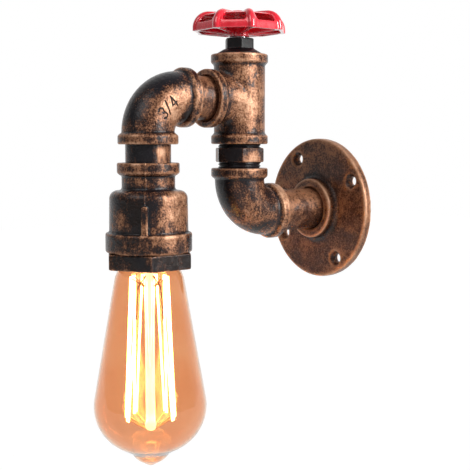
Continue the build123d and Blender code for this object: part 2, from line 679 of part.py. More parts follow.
# ---- socket cup and its collar -----------------------------------------------------------------------------
cup_mouth = Vector(0, LAMP_Y, CUP_MOUTH_Z)
cup_section = section_along(cup_mouth, ACROSS, DOWN)
collar_seat_r = COLLAR_THREAD_R + THREAD_CLEARANCE
web_foot = CUP_WEB_TOP + CUP_WEB
with BuildPart() as socket_cup:
    turned(
        cup_section,
        [
            (0, 0),
            (CUP_BAND_R - BAND_EDGE, 0),
            (CUP_BAND_R, BAND_EDGE),
            (CUP_BAND_R, CUP_BAND_WIDTH),
            (CUP_BAND_R - CUP_BAND_BEVEL, CUP_BAND_WIDTH + CUP_BAND_BEVEL),
            (CUP_NECK_R, CUP_BAND_WIDTH + CUP_BAND_BEVEL),
            (CUP_NECK_R, CUP_SHOULDER, CUP_NECK_ROUND),
            (CUP_BELL_R, CUP_SHOULDER + CUP_SHOULDER_FALL, CUP_SHOULDER_ROUND),
            (CUP_BELL_R + CUP_BELL_FLARE, CUP_SKIRT),
            (CUP_SKIRT_R, CUP_SKIRT, CUP_SKIRT_ROUND),
            (CUP_SKIRT_R, CUP_HEIGHT, CUP_SKIRT_ROUND),
            (0, CUP_HEIGHT),
        ],
    )
    for angle in CUP_RIB_ANGLES:
        outward = facing(angle)
        rib_face = Plane(
            origin=cup_mouth + outward * CUP_BELL_BORE_R,
            x_dir=DOWN.cross(outward),
            z_dir=outward,
        )
        with BuildSketch(rib_face):
            with BuildLine():
                rounded_outline(
                    [
                        (-CUP_RIB_WIDTH / 2, CUP_RIB_FOOT),
                        (-CUP_RIB_WIDTH / 2, CUP_RIB_TOP, CUP_RIB_ROUND),
                        (CUP_RIB_WIDTH / 2, CUP_RIB_TOP, CUP_RIB_ROUND),
                        (CUP_RIB_WIDTH / 2, CUP_RIB_FOOT),
                    ]
                )
            make_face()
        extrude(amount=CUP_BELL_R + CUP_RIB_PROUD - CUP_BELL_BORE_R)
    turned(
        cup_section,
        [
            (0, 0),
            (MOUTH_R + MOUTH_BEVEL, 0),
            (MOUTH_R, MOUTH_BEVEL),
            (MOUTH_R, MOUTH_DEPTH),
            (CUP_NECK_R - FITTING_WALL, MOUTH_DEPTH),
            (CUP_NECK_R - FITTING_WALL, CUP_WEB_TOP),
            (0, CUP_WEB_TOP),
        ],
        mode=Mode.SUBTRACT,
    )
    turned(
        cup_section,
        [
            (0, web_foot),
            (CUP_BELL_BORE_R, web_foot),
            (CUP_BELL_BORE_R, CUP_HEIGHT - COLLAR_THREAD_LENGTH - THREAD_RUNOUT),
            (collar_seat_r, CUP_HEIGHT - COLLAR_THREAD_LENGTH - THREAD_RUNOUT),
            (collar_seat_r, CUP_HEIGHT),
            (0, CUP_HEIGHT),
        ],
        mode=Mode.SUBTRACT,
    )
    with BuildSketch(Plane(origin=cup_mouth).offset(-web_foot)):
        Circle(ROD_R + ROD_CLEARANCE)
    extrude(amount=CUP_WEB, mode=Mode.SUBTRACT)
socket_cup.part.label = "socket_cup"
export_step(socket_cup.part, "parts/socket_cup.step")

collar_seat = cup_mouth + DOWN * CUP_HEIGHT
collar_section = section_along(collar_seat, ACROSS, DOWN)
with BuildPart() as hex_collar:
    turned(
        collar_section,
        [
            (0, -COLLAR_THREAD_LENGTH),
            (COLLAR_THREAD_R - END_BEVEL, -COLLAR_THREAD_LENGTH),
            (COLLAR_THREAD_R, -COLLAR_THREAD_LENGTH + END_BEVEL),
            (COLLAR_THREAD_R, 0),
            (0, 0),
        ],
    )
    add(
        bevelled_hexagon(
            Plane(origin=collar_seat, x_dir=ACROSS, z_dir=DOWN), COLLAR_FLATS, COLLAR_HEIGHT, COLLAR_BEVEL
        )
    )
    turned(
        collar_section,
        [
            (0, -COLLAR_THREAD_LENGTH),
            (COLLAR_BORE_R, -COLLAR_THREAD_LENGTH),
            (COLLAR_BORE_R, COLLAR_HEIGHT - COLLAR_BEVEL),
            (COLLAR_BORE_R + COLLAR_BEVEL, COLLAR_HEIGHT),
            (0, COLLAR_HEIGHT),
        ],
        mode=Mode.SUBTRACT,
    )
hex_collar.part.label = "hex_collar"
export_step(hex_collar.part, "parts/hex_collar.step")

# ---- lampholder --------------------------------------------------------------------------------------------
lamp = Plane(origin=cup_mouth, x_dir=ACROSS, z_dir=DOWN)
lamp_side = Plane(origin=cup_mouth, x_dir=OUT, z_dir=OUT.cross(DOWN))
strap_foot = web_foot + STRAP_THICKNESS
rod_foot = strap_foot + STRAP_COLLAR_HEIGHT
with BuildPart() as holder_rod:
    with BuildSketch(lamp.offset(CUP_WEB_TOP - ROD_ABOVE_WEB)):
        Circle(ROD_R)
        Circle(ROD_BORE_R, mode=Mode.SUBTRACT)
    extrude(amount=rod_foot - CUP_WEB_TOP + ROD_ABOVE_WEB)
holder_rod.part.label = "holder_rod"
export_step(holder_rod.part, "parts/holder_rod.step")

washer_top = CUP_WEB_TOP - WASHER_THICKNESS
with BuildPart() as rod_lock_washer:
    with BuildSketch(lamp.offset(washer_top)):
        Circle(WASHER_R)
        Circle(ROD_R + ROD_CLEARANCE, mode=Mode.SUBTRACT)
    extrude(amount=WASHER_THICKNESS)
rod_lock_washer.part.label = "rod_lock_washer"
export_step(rod_lock_washer.part, "parts/rod_lock_washer.step")

with BuildPart() as rod_nut:
    add(bevelled_hexagon(lamp.offset(washer_top - NUT_HEIGHT), NUT_FLATS, NUT_HEIGHT, HEX_BEVEL / 2))
    with BuildSketch(lamp.offset(washer_top)):
        Circle(ROD_R + THREAD_CLEARANCE)
    extrude(amount=-NUT_HEIGHT, mode=Mode.SUBTRACT)
rod_nut.part.label = "rod_nut"
export_step(rod_nut.part, "parts/rod_nut.step")

flat_reach = CERAMIC_R - CERAMIC_FLAT
screw_depth = web_foot + STRAP_SCREW_DROP
with BuildPart() as holder_strap:
    with BuildSketch(section_along(cup_mouth, ACROSS, DOWN)):
        with BuildLine():
            FilletPolyline(
                (-STRAP_REACH, web_foot + STRAP_DROP),
                (-STRAP_REACH, web_foot),
                (STRAP_REACH, web_foot),
                (STRAP_REACH, web_foot + STRAP_DROP),
                radius=STRAP_BEND_R,
            )
            offset(amount=STRAP_THICKNESS, side=Side.LEFT)
        make_face()
    extrude(amount=STRAP_WIDTH / 2, both=True)
    with BuildSketch(lamp.offset(web_foot)):
        Circle(STRAP_COLLAR_R)
    extrude(amount=STRAP_THICKNESS + STRAP_COLLAR_HEIGHT)
    with BuildSketch(lamp.offset(web_foot)):
        Circle(ROD_R + THREAD_CLEARANCE)
    extrude(amount=STRAP_THICKNESS + STRAP_COLLAR_HEIGHT, mode=Mode.SUBTRACT)
    with BuildSketch(Plane(origin=cup_mouth + DOWN * screw_depth, z_dir=ACROSS)):
        Circle(SCREW_R + SCREW_CLEARANCE)
    extrude(amount=STRAP_REACH, both=True, mode=Mode.SUBTRACT)
holder_strap.part.label = "holder_strap"
export_step(holder_strap.part, "parts/holder_strap.step")

with BuildPart() as strap_screws:
    for side in (ACROSS, -ACROSS):
        screw_seat = Plane(origin=cup_mouth + DOWN * screw_depth + side * STRAP_REACH, z_dir=side)
        with BuildSketch(screw_seat):
            Circle(SCREW_HEAD_R)
        extrude(amount=SCREW_HEAD)
        with BuildSketch(screw_seat):
            Circle(SCREW_R)
        extrude(amount=-STRAP_SCREW_LENGTH)
strap_screws.part.label = "strap_screws"
export_step(strap_screws.part, "parts/strap_screws.step")

ceramic_top = web_foot + CERAMIC_DROP
ceramic_foot = ceramic_top + CERAMIC_LENGTH
shell_top = ceramic_top + CERAMIC_FLOOR
pocket_floor = ceramic_top + POCKET_DEPTH
with BuildPart() as holder_ceramic:
    turned(
        cup_section,
        [
            (0, ceramic_top),
            (CERAMIC_R, ceramic_top, CERAMIC_ROUND),
            (CERAMIC_R, ceramic_foot, CERAMIC_ROUND),
            (SHELL_R + THREAD_CLEARANCE, ceramic_foot),
            (SHELL_R + THREAD_CLEARANCE, shell_top),
            (0, shell_top),
        ],
    )
    for side in (ACROSS, -ACROSS):
        with BuildSketch(Plane(origin=cup_mouth + DOWN * ceramic_top + side * flat_reach, z_dir=side)):
            Rectangle(2 * CERAMIC_R, 2 * CERAMIC_FLAT_LENGTH)
        extrude(amount=CERAMIC_R, mode=Mode.SUBTRACT)
        with BuildSketch(Plane(origin=cup_mouth + DOWN * screw_depth + side * flat_reach, z_dir=side)):
            Circle(SCREW_R + SCREW_CLEARANCE)
        extrude(amount=-STRAP_SCREW_LENGTH, mode=Mode.SUBTRACT)
    for side in (1, -1):
        with BuildSketch(lamp.offset(ceramic_top)):
            with Locations((0, side * POCKET_PLACE)):
                RectangleRounded(POCKET_WIDTH, POCKET_LENGTH, POCKET_ROUND)
        extrude(amount=POCKET_DEPTH, mode=Mode.SUBTRACT)
        with BuildSketch(lamp.offset(pocket_floor)):
            with Locations((0, side * CONTACT_SLOT)):
                Rectangle(CONTACT_WIDTH + SLOT_CLEARANCE, CONTACT_STRIP + SLOT_CLEARANCE)
        extrude(amount=shell_top - pocket_floor, mode=Mode.SUBTRACT)
        with BuildSketch(lamp.offset(pocket_floor)):
            with Locations((0, side * TERMINAL_PLACE)):
                Circle(SCREW_R + SCREW_CLEARANCE)
        extrude(amount=TERMINAL_SCREW_LENGTH - CONTACT_STRIP + SCREW_CLEARANCE, mode=Mode.SUBTRACT)
holder_ceramic.part.label = "holder_ceramic"
export_step(holder_ceramic.part, "parts/holder_ceramic.step")

with BuildPart() as screw_shell:
    with BuildSketch(lamp.offset(shell_top)):
        Circle(SHELL_R)
        Circle(SHELL_BORE_R, mode=Mode.SUBTRACT)
    extrude(amount=SHELL_LENGTH)
    with BuildSketch(lamp.offset(shell_top)):
        Circle(SHELL_R)
        Circle(SHELL_R - SHELL_LUG, mode=Mode.SUBTRACT)
        with Locations((0, -SHELL_R / 2)):
            Rectangle(2 * SHELL_R, SHELL_R, mode=Mode.SUBTRACT)
    extrude(amount=SHELL_WALL)
screw_shell.part.label = "screw_shell"
export_step(screw_shell.part, "parts/screw_shell.step")

tab_line = pocket_floor - CONTACT_STRIP / 2
tongue_line = CUP_TO_TIP - CONTACT_GAP - CONTACT_STRIP / 2
foot_line = shell_top + SHELL_WALL + CONTACT_STRIP / 2
contact_paths = {
    "centre_contact": [
        (-CONTACT_TAB_REACH, tab_line),
        (-CONTACT_SLOT, tab_line),
        (-CONTACT_SLOT, shell_top + CONTACT_STRIP),
        (0, tongue_line),
        (CONTACT_TONGUE_REACH, tongue_line - CONTACT_STRIP),
    ],
    "side_contact": [
        (CONTACT_TAB_REACH, tab_line),
        (CONTACT_SLOT, tab_line),
        (CONTACT_SLOT, foot_line),
        (SHELL_R - CONTACT_FOOT, foot_line),
    ],
}


def bent_strip(points):
    """Spring strip whose middle follows these points, in the section through wall and lamp axis."""
    with BuildPart() as strip:
        with BuildSketch(lamp_side) as outline:
            with BuildLine() as middle:
                FilletPolyline(*points, radius=CONTACT_BEND_R)
            trace(middle.line, line_width=CONTACT_STRIP)
        extrude(outline.sketch.faces(), amount=CONTACT_WIDTH / 2, both=True)
        terminal = TERMINAL_PLACE if points[0][0] > 0 else -TERMINAL_PLACE
        with BuildSketch(lamp.offset(tab_line)) as hole:
            with Locations((0, terminal)):
                Circle(SCREW_R + SCREW_CLEARANCE)
        extrude(hole.sketch.faces(), amount=CONTACT_STRIP, both=True, mode=Mode.SUBTRACT)
    return strip


for name, points in contact_paths.items():
    contact = bent_strip(points)
    contact.part.label = name
    export_step(contact.part, f"parts/{name}.step")

with BuildPart() as terminal_screws:
    for side in (1, -1):
        with BuildSketch(lamp.offset(pocket_floor - CONTACT_STRIP)):
            with Locations((0, side * TERMINAL_PLACE)):
                Circle(SCREW_HEAD_R)
        extrude(amount=-SCREW_HEAD)
        with BuildSketch(lamp.offset(pocket_floor - CONTACT_STRIP)):
            with Locations((0, side * TERMINAL_PLACE)):
                Circle(SCREW_R)
        extrude(amount=TERMINAL_SCREW_LENGTH)
terminal_screws.part.label = "terminal_screws"
export_step(terminal_screws.part, "parts/terminal_screws.step")

# ---- bulb: cap -----------------------------------------------------------------------------------------------
bulb_tip = cup_mouth + DOWN * CUP_TO_TIP
bulb_section = section_along(bulb_tip, ACROSS, DOWN)
with BuildPart() as bulb_contact:
    turned(bulb_section, [(0, 0), (TIP_R, 0, TIP_ROUND), (TIP_R, TIP_HEIGHT), (0, TIP_HEIGHT)])
bulb_contact.part.label = "bulb_contact"
export_step(bulb_contact.part, "parts/bulb_contact.step")

insulator_top = TIP_HEIGHT + TIP_GAP
with BuildPart() as bulb_insulator:
    turned(
        bulb_section,
        [
            (0, insulator_top),
            (INSULATOR_TOP_R, insulator_top),
            (INSULATOR_R, CAP_TOP - TIP_GAP),
            (INSULATOR_R, CAP_TOP),
            (INSULATOR_PLUG_R, CAP_TOP),
            (INSULATOR_PLUG_R, insulator_top + INSULATOR_HEIGHT + CAP_WALL),
            (0, insulator_top + INSULATOR_HEIGHT + CAP_WALL),
        ],
    )
bulb_insulator.part.label = "bulb_insulator"
export_step(bulb_insulator.part, "parts/bulb_insulator.step")

cap_hole_r = INSULATOR_PLUG_R + TIP_GAP / 2
with BuildPart() as bulb_cap:
    turned(
        bulb_section,
        [
            (cap_hole_r, CAP_TOP),
            (CAP_R - CAP_SHOULDER, CAP_TOP),
            (CAP_R, CAP_THREAD_TOP),
            (CAP_R, CAP_THREAD_FOOT),
            (CAP_RIM_R, CAP_FLARE),
            (CAP_RIM_R, CAP_LENGTH),
            (CAP_RIM_R - CAP_WALL, CAP_LENGTH),
            (CAP_RIM_R - CAP_WALL, CAP_FLARE),
            (CAP_R - CAP_WALL, CAP_THREAD_FOOT),
            (CAP_R - CAP_WALL, CAP_THREAD_TOP),
            (CAP_R - CAP_WALL - CAP_SHOULDER, CAP_TOP + CAP_WALL),
            (cap_hole_r, CAP_TOP + CAP_WALL),
        ],
    )
bulb_cap.part.label = "bulb_cap"
export_step(bulb_cap.part, "parts/bulb_cap.step")

# ---- bulb: glass and stem ------------------------------------------------------------------------------------
with BuildPart() as bulb_glass:
    turned(bulb_section, [(0, NECK_TOP), (NECK_R, NECK_TOP), *GLASS_OUTLINE])
    offset(amount=-GLASS_WALL, openings=bulb_glass.faces().sort_by(Axis.Z)[-1])
bulb_glass.part.label = "bulb_glass"
export_step(bulb_glass.part, "parts/bulb_glass.step")

neck_bore_r = NECK_R - GLASS_WALL
with BuildPart() as bulb_stem:
    turned(
        bulb_section,
        [
            (0, FLARE_FOOT - GLASS_WALL),
            (PRESS_R - GLASS_WALL, FLARE_FOOT - GLASS_WALL, GLASS_WALL),
            (FLARE_WAIST_R, FLARE_WAIST, PRESS_R),
            (neck_bore_r, FLARE_TOP),
            (neck_bore_r, FLARE_TOP + GLASS_WALL),
            (FLARE_WAIST_R + GLASS_WALL, FLARE_WAIST + 2 * GLASS_WALL, PRESS_R),
            (PRESS_R, FLARE_FOOT, GLASS_WALL),
            (PRESS_R, STEM_ROD_TOP, STEM_ROD_R / 2),
            (STEM_ROD_R, STEM_ROD_TOP + STEM_ROD_R / 2),
            (STEM_ROD_R, STEM_BUTTON),
            (STEM_BUTTON_R, STEM_BUTTON),
            (STEM_BUTTON_R, STEM_END, STEM_END_ROUND),
            (0, STEM_END),
        ],
    )
bulb_stem.part.label = "bulb_stem"
export_step(bulb_stem.part, "parts/bulb_stem.step")

# ---- bulb: filament and the wires that hold it ---------------------------------------------------------------
strand_step = (360 - STRAND_GAP) / STRAND_COUNT


def cage_point(strand, r, depth):
    """Place on the cage's cone of strands: which strand, how far out, how far down from the tip."""
    return bulb_tip + facing(STRAND_GAP_FACES + STRAND_GAP / 2 + strand * strand_step) * r + DOWN * depth


def hook_bend(strand, r, depth):
    """The two corners of the filament's turn round one hook."""
    half = degrees(STRAND_HOOK / 2 / r) / strand_step
    return [cage_point(strand - half, r, depth), cage_point(strand + half, r, depth)]


def wire(points, r, bend=0):
    """Round wire through the points, inside the open part; without a bend its corners are mitred."""
    with BuildLine() as line:
        if bend:
            FilletPolyline(*points, radius=bend)
        else:
            Polyline(*points)
    run = line.wires()[0]
    with BuildSketch(Plane(origin=run @ 0, z_dir=run % 0)) as end:
        Circle(r)
    sweep(end.sketch.faces(), path=run, transition=Transition.RIGHT)


lead_r = CAGE_TOP_R + (CAGE_LOW_R - CAGE_TOP_R) * (LEAD_END - CAGE_TOP) / (CAGE_LOW - CAGE_TOP)
top_hooks = range(2, STRAND_COUNT, 2)
low_hooks = range(1, STRAND_COUNT, 2)
cage = [cage_point(0, lead_r, LEAD_END)]
for strand in range(1, STRAND_COUNT):
    if strand in low_hooks:
        cage += hook_bend(strand, CAGE_LOW_R, CAGE_LOW)
    else:
        cage += hook_bend(strand, CAGE_TOP_R, CAGE_TOP)
cage.append(cage_point(STRAND_COUNT, lead_r, LEAD_END))
with BuildPart() as filament:
    wire(cage, FILAMENT_R)
filament.part.label = "filament"
export_step(filament.part, "parts/filament.step")

hook_inset = FILAMENT_R + WIRE_R
with BuildPart() as upper_supports:
    for strand in top_hooks:
        root = cage_point(strand, STEM_ROD_R + WIRE_ROOT_CLEARANCE, UPPER_SUPPORT_ROOT)
        hook = cage_point(strand, CAGE_TOP_R - hook_inset, CAGE_TOP + hook_inset)
        wire([root, hook], WIRE_R)
upper_supports.part.label = "upper_supports"
export_step(upper_supports.part, "parts/upper_supports.step")

with BuildPart() as lower_supports:
    for strand in low_hooks:
        root = cage_point(strand, STEM_BUTTON_R + WIRE_ROOT_CLEARANCE, LOWER_SUPPORT_ROOT)
        hook = cage_point(strand, CAGE_LOW_R - hook_inset, CAGE_LOW - hook_inset)
        wire([root, hook], WIRE_R)
lower_supports.part.label = "lower_supports"
export_step(lower_supports.part, "parts/lower_supports.step")

with BuildPart() as lead_wires:
    for strand in (0, STRAND_COUNT):
        root = cage_point(strand, STEM_ROD_R + WIRE_ROOT_CLEARANCE, LEAD_FOOT)
        shoulder = cage_point(strand, LEAD_SPREAD_R, LEAD_SHOULDER)
        end = cage_point(strand, lead_r - hook_inset, LEAD_END + FILAMENT_R)
        wire([root, shoulder, end], WIRE_R, LEAD_BEND_R)
lead_wires.part.label = "lead_wires"
export_step(lead_wires.part, "parts/lead_wires.step")
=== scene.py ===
import math

import bmesh
import bpy
import numpy as np
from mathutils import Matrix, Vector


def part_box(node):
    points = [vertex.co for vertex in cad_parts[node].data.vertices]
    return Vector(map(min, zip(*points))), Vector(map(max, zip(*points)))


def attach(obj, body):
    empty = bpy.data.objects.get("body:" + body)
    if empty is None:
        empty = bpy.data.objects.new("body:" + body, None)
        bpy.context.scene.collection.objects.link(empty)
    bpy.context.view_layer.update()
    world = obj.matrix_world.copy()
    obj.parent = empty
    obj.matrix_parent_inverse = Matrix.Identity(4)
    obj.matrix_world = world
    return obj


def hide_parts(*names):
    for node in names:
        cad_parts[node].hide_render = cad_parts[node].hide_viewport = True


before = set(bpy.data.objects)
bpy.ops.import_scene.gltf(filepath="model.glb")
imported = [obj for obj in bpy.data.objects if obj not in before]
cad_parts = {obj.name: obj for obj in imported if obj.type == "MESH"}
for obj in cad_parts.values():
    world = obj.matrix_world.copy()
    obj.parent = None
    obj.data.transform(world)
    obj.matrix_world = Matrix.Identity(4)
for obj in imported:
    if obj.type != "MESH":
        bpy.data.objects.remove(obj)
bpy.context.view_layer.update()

# ---- Wall flange ---------------------------------------------------------------------------------------
# The floor flange is a disc of cast iron with four countersunk holes and a threaded hub. Like every
# fitting here it is dipped in near-black lacquer, and copper paint is then brushed over it almost dry.
MM = 0.001  # the frame is in metres
FLANGE_GRAIN_MM = 0.5
PATCH_MM = 16.0  # spacing of the brush's large patches
DAB_MM = 4.5
STROKE_MM = 1.8
STROKE_SQUEEZE = 0.25  # strokes run upright, and are four times as long as they are wide
SPECK_MM = 1.0  # the real grit is about 0.5 mm; drawn as coarse as it needs to show
LUMP_MM = 5.0  # unevenness of the cast skin
TINT_MM = 24.0  # the lacquer is brown in some places and blue in others
TINT_SPAN = (0.42, 0.6)
NOISE_MIDDLE = 0.5
DARK_LACQUER = "#1d100b"
BLUE_LACQUER = "#19161b"
BROWN_WASH = "#4f3123"
COPPER_PAINT = "#9a6a4c"
COPPER_RUB = "#cfa080"
WASH_COVER = (0.0, 0.45)  # the cover over which lacquer turns to wash
COPPER_COVER = (0.4, 0.75)  # wash to copper paint
RUB_COVER = (0.7, 1.3)  # copper paint to bright rubbed copper
METAL_COVER = (0.35, 0.8)
METAL_SHARE = 0.4  # copper flakes in a lacquer, so not a whole metal
GLOSS_COVER = (0.2, 0.8)
LACQUER_ROUGHNESS = 0.22
COPPER_ROUGHNESS = 0.4
SPECK_ROUGHNESS = 0.25
# Proud edges catch copper as a dry brush leaves them; creases go dark, which is also painted shade in them.
PROUD_COVER = 1.9  # cover gained by each millimetre that a point stands proud
PROUD_MIDDLE_MM = 0.08  # a point this proud gains nothing, and one less proud loses cover
MARK_COVER = 1.2  # cover lost where a mark is darkest
RELIEF_MM = 0.5


def linear(hex_colour):
    """Linear RGBA from an sRGB hex colour: each channel through the sRGB curve."""
    channels = np.array([int(hex_colour[i:i + 2], 16) for i in (1, 3, 5)]) / 255
    low = channels / 12.92
    high = ((channels + 0.055) / 1.055) ** 2.4
    return (*np.where(channels <= 0.04045, low, high), 1.0)


def fill_inputs(owner, node, inputs):
    """Set a node's inputs, each to a value, an sRGB hex colour or the output socket that feeds it."""
    for name, value in inputs.items():
        if isinstance(value, bpy.types.NodeSocket):
            owner.node_tree.links.new(value, node.inputs[name])
        else:
            node.inputs[name].default_value = linear(value) if isinstance(value, str) else value


def add_node(owner, kind, inputs=None, **settings):
    """Add one node to a material or a world: settings are its properties, inputs are for fill_inputs."""
    node = owner.node_tree.nodes.new(kind)
    for name, value in settings.items():
        setattr(node, name, value)
    fill_inputs(owner, node, inputs or {})
    return node


def new_material(name):
    """Empty node material and its surface shader."""
    material = bpy.data.materials.new(name)
    material.use_nodes = True
    shader = next(n for n in material.node_tree.nodes if n.type == "BSDF_PRINCIPLED")
    return material, shader


def weighted(material, start, terms):
    """start, plus each output's distance from its middle times its weight.

    The terms are (output, weight, middle).
    """
    total = start
    for output, weight, middle in terms:
        centred = add_node(material, "ShaderNodeMath", {0: output, 1: middle}, operation="SUBTRACT")
        inputs = {0: centred.outputs["Value"], 1: weight, 2: total}
        total = add_node(material, "ShaderNodeMath", inputs, operation="MULTIPLY_ADD").outputs["Value"]
    return total


def graded_colour(material, value, span, low, high):
    """Colour that runs smoothly from low to high while value goes over the span."""
    inputs = {"Value": value, "From Min": span[0], "From Max": span[1]}
    share = add_node(material, "ShaderNodeMapRange", inputs, interpolation_type="SMOOTHSTEP")
    inputs = {"Factor": share.outputs["Result"], 6: low, 7: high}  # 6 and 7 are the mix's two colours
    return add_node(material, "ShaderNodeMix", inputs, data_type="RGBA").outputs[2]


def dry_brushed_iron(name, cover, patches=1.5, dabs=1.2, strokes=0.8, specks=1.5, rub_and_crease_shade=1.0):
    """Iron dipped near-black, copper paint put on with an almost dry brush, and light and shade painted in.

    The paint's cover at a point is its mean cover, plus patches, dabs, upright strokes and specks of noise,
    plus the edge weight times how proud the point stands, plus the spot weights, less the point's mark. Proud
    edges catch copper as a dry brush leaves them, and creases go dark, which also paints in the shade that
    falls in them. The spot weights are partly where the brush pressed and where it missed, and partly painted
    highlights and painted shade. Dark lacquer shows where cover is low, a brown wash between, and copper
    where it is high. The eye gets glossy darks, satin copper on the edges and a stippled border between them.
    """
    material, shader = new_material(name)
    place = add_node(material, "ShaderNodeTexCoord").outputs["Object"]
    upright = add_node(material, "ShaderNodeMapping", {"Vector": place, "Scale": (1.0, 1.0, STROKE_SQUEEZE)})
    noise = {}
    for pattern, vector, size_mm, detail, roughness in (
        ("patch", place, PATCH_MM, 1.0, 0.5),
        ("dab", place, DAB_MM, 3.0, 0.6),
        ("stroke", upright.outputs["Vector"], STROKE_MM, 2.0, 0.6),
        ("speck", place, SPECK_MM, 2.0, 0.75),
        ("lump", place, LUMP_MM, 2.0, 0.5),
        ("tint", place, TINT_MM, 2.0, 0.55),
    ):
        inputs = {"Vector": vector, "Scale": 1000 / size_mm, "Detail": detail, "Roughness": roughness}
        noise[pattern] = add_node(material, "ShaderNodeTexNoise", inputs).outputs["Fac"]
    proud, mark, brushed_and_painted_light = (
        add_node(material, "ShaderNodeAttribute", attribute_name=attribute).outputs["Fac"]
        for attribute in ("proud", "mark", "brushed_and_painted_light"))
    total = weighted(material, cover, (
        (noise["patch"], patches, NOISE_MIDDLE),
        (noise["dab"], dabs, NOISE_MIDDLE),
        (noise["stroke"], strokes, NOISE_MIDDLE),
        (noise["speck"], specks, NOISE_MIDDLE),
        (proud, PROUD_COVER * rub_and_crease_shade, PROUD_MIDDLE_MM),
        (mark, -MARK_COVER, 0.0),
        (brushed_and_painted_light, 1.0, 0.0),
    ))
    dark = graded_colour(material, noise["tint"], TINT_SPAN, DARK_LACQUER, BLUE_LACQUER)
    washed = graded_colour(material, total, WASH_COVER, dark, BROWN_WASH)
    copper = graded_colour(material, total, RUB_COVER, COPPER_PAINT, COPPER_RUB)
    metal = add_node(material, "ShaderNodeMapRange", {
        "Value": total, "From Min": METAL_COVER[0], "From Max": METAL_COVER[1], "To Max": METAL_SHARE,
    }, interpolation_type="SMOOTHSTEP")
    gloss = add_node(material, "ShaderNodeMapRange", {
        "Value": total, "From Min": GLOSS_COVER[0], "From Max": GLOSS_COVER[1],
        "To Min": LACQUER_ROUGHNESS, "To Max": COPPER_ROUGHNESS,
    }, interpolation_type="SMOOTHSTEP")
    grit = ((noise["speck"], SPECK_ROUGHNESS, NOISE_MIDDLE),)
    relief = weighted(material, 0.0, (
        (noise["lump"], 1.0, NOISE_MIDDLE),
        (noise["speck"], 0.6, NOISE_MIDDLE),
        (total, 0.08, 0.5),  # the paint is itself a little thick
    ))
    bump = add_node(material, "ShaderNodeBump", {
        "Height": relief, "Strength": 0.6, "Distance": RELIEF_MM * MM})
    fill_inputs(material, shader, {
        "Base Color": graded_colour(material, total, COPPER_COVER, washed, copper),
        "Metallic": metal.outputs["Result"],
        "Roughness": weighted(material, gloss.outputs["Result"], grit),
        "Specular IOR Level": 0.3,
        "Normal": bump.outputs["Normal"],
    })
    return material


def merged_copy(node_name, piece_name):
    """A copy of a CAD node's mesh with its loose triangles joined."""
    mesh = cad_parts[node_name].data.copy()
    mesh.name = piece_name
    joined = bmesh.new()
    joined.from_mesh(mesh)
    bmesh.ops.remove_doubles(joined, verts=joined.verts, dist=0.001 * MM)
    joined.to_mesh(mesh)
    joined.free()
    piece = bpy.data.objects.new(piece_name, mesh)
    bpy.context.scene.collection.objects.link(piece)
    return piece


def vertex_values(mesh, field):
    """The mesh's co or normal, as rows of three."""
    values = np.empty(len(mesh.vertices) * 3)
    mesh.vertices.foreach_get(field, values)
    return values.reshape(-1, 3)


def set_attribute(mesh, name, values):
    """Give every vertex its value of a named attribute."""
    mesh.attributes.new(name, "FLOAT", "POINT").data.foreach_set("value", values)


def spread(values, edges, rounds):
    """Smooth vertex values: each round moves every vertex halfway to the mean of its neighbours."""
    count = len(values)
    ends = np.concatenate([edges, edges[:, ::-1]])
    degree = np.bincount(ends[:, 0], minlength=count)[:, None]
    for _ in range(rounds):
        total = np.stack([np.bincount(ends[:, 0], values[ends[:, 1], k], count)
                          for k in range(values.shape[1])], axis=1)
        values = 0.5 * values + 0.5 * total / degree
    return values


def cast_skin(node_name, piece_name, grain_mm, soften=4, broad=16):
    """The piece as it leaves the mould: its CAD solid on an even grid of grain_mm, with softened edges.

    The grid's points are smoothed for soften rounds. The attribute proud is how far each stands out of its
    own surroundings, in mm: its height along its normal above the same points smoothed for broad rounds.
    """
    piece = merged_copy(node_name, piece_name)
    grid = piece.modifiers.new("even_grid", "REMESH")
    grid.mode = "VOXEL"
    grid.voxel_size = grain_mm * MM
    evaluated = piece.evaluated_get(bpy.context.evaluated_depsgraph_get())
    mesh = bpy.data.meshes.new_from_object(evaluated)
    piece.modifiers.clear()
    rough = piece.data
    piece.data = mesh
    bpy.data.meshes.remove(rough)
    mesh.name = piece_name
    edges = np.empty(len(mesh.edges) * 2, dtype=np.int64)
    mesh.edges.foreach_get("vertices", edges)
    edges = edges.reshape(-1, 2)
    points = spread(vertex_values(mesh, "co"), edges, soften)
    mesh.vertices.foreach_set("co", points.ravel())
    mesh.shade_smooth()
    mesh.update()
    sunk = spread(points, edges, broad)
    set_attribute(mesh, "proud", ((points - sunk) * vertex_values(mesh, "normal")).sum(axis=1) / MM)
    return piece


def finish_piece(piece, material, node_name, body="fixture"):
    """Give the piece its material and let it stand for its CAD node."""
    piece.data.materials.clear()
    piece.data.materials.append(material)
    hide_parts(node_name)
    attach(piece, body)


# The flange was brushed lightly and all over, so it is an even brown with copper only on its edges.
flange_finish = dry_brushed_iron("flange_dry_brushed_iron", cover=0.73, patches=0.7, dabs=0.6, strokes=0.0,
                                 specks=1.2, rub_and_crease_shade=1.5)
finish_piece(cast_skin("wall_flange", "flange_casting", FLANGE_GRAIN_MM), flange_finish, "wall_flange")

# ---- Pipe nipples --------------------------------------------------------------------------------------
# Short steel pipes, threaded at both ends and screwed in until the thread is hidden. Drawn pipe is
# smoother than a casting, so the brush leaves long streaks down the upright one.
PIPE_GRAIN_MM = 0.45


def spot_paint_and_light(piece, spots):
    """Spots of more copper (weight above 0) and of less (below 0), partly paint and partly painted light.

    They stand partly for where the brush pressed and where it missed, and partly for painted highlights where
    the key light falls and painted shade on the sides turned from it. The spots are x, y, z, reach and
    weight, in mm. A spot's weight fades from its middle as a bell curve, to about a third at its reach.
    """
    points = vertex_values(piece.data, "co") / MM
    brushed_and_painted_light = np.zeros(len(points))
    for x, y, z, reach, weight in spots:
        brushed_and_painted_light += weight * np.exp(-((points - (x, y, z)) ** 2).sum(axis=1) / reach ** 2)
    set_attribute(piece.data, "brushed_and_painted_light", brushed_and_painted_light)


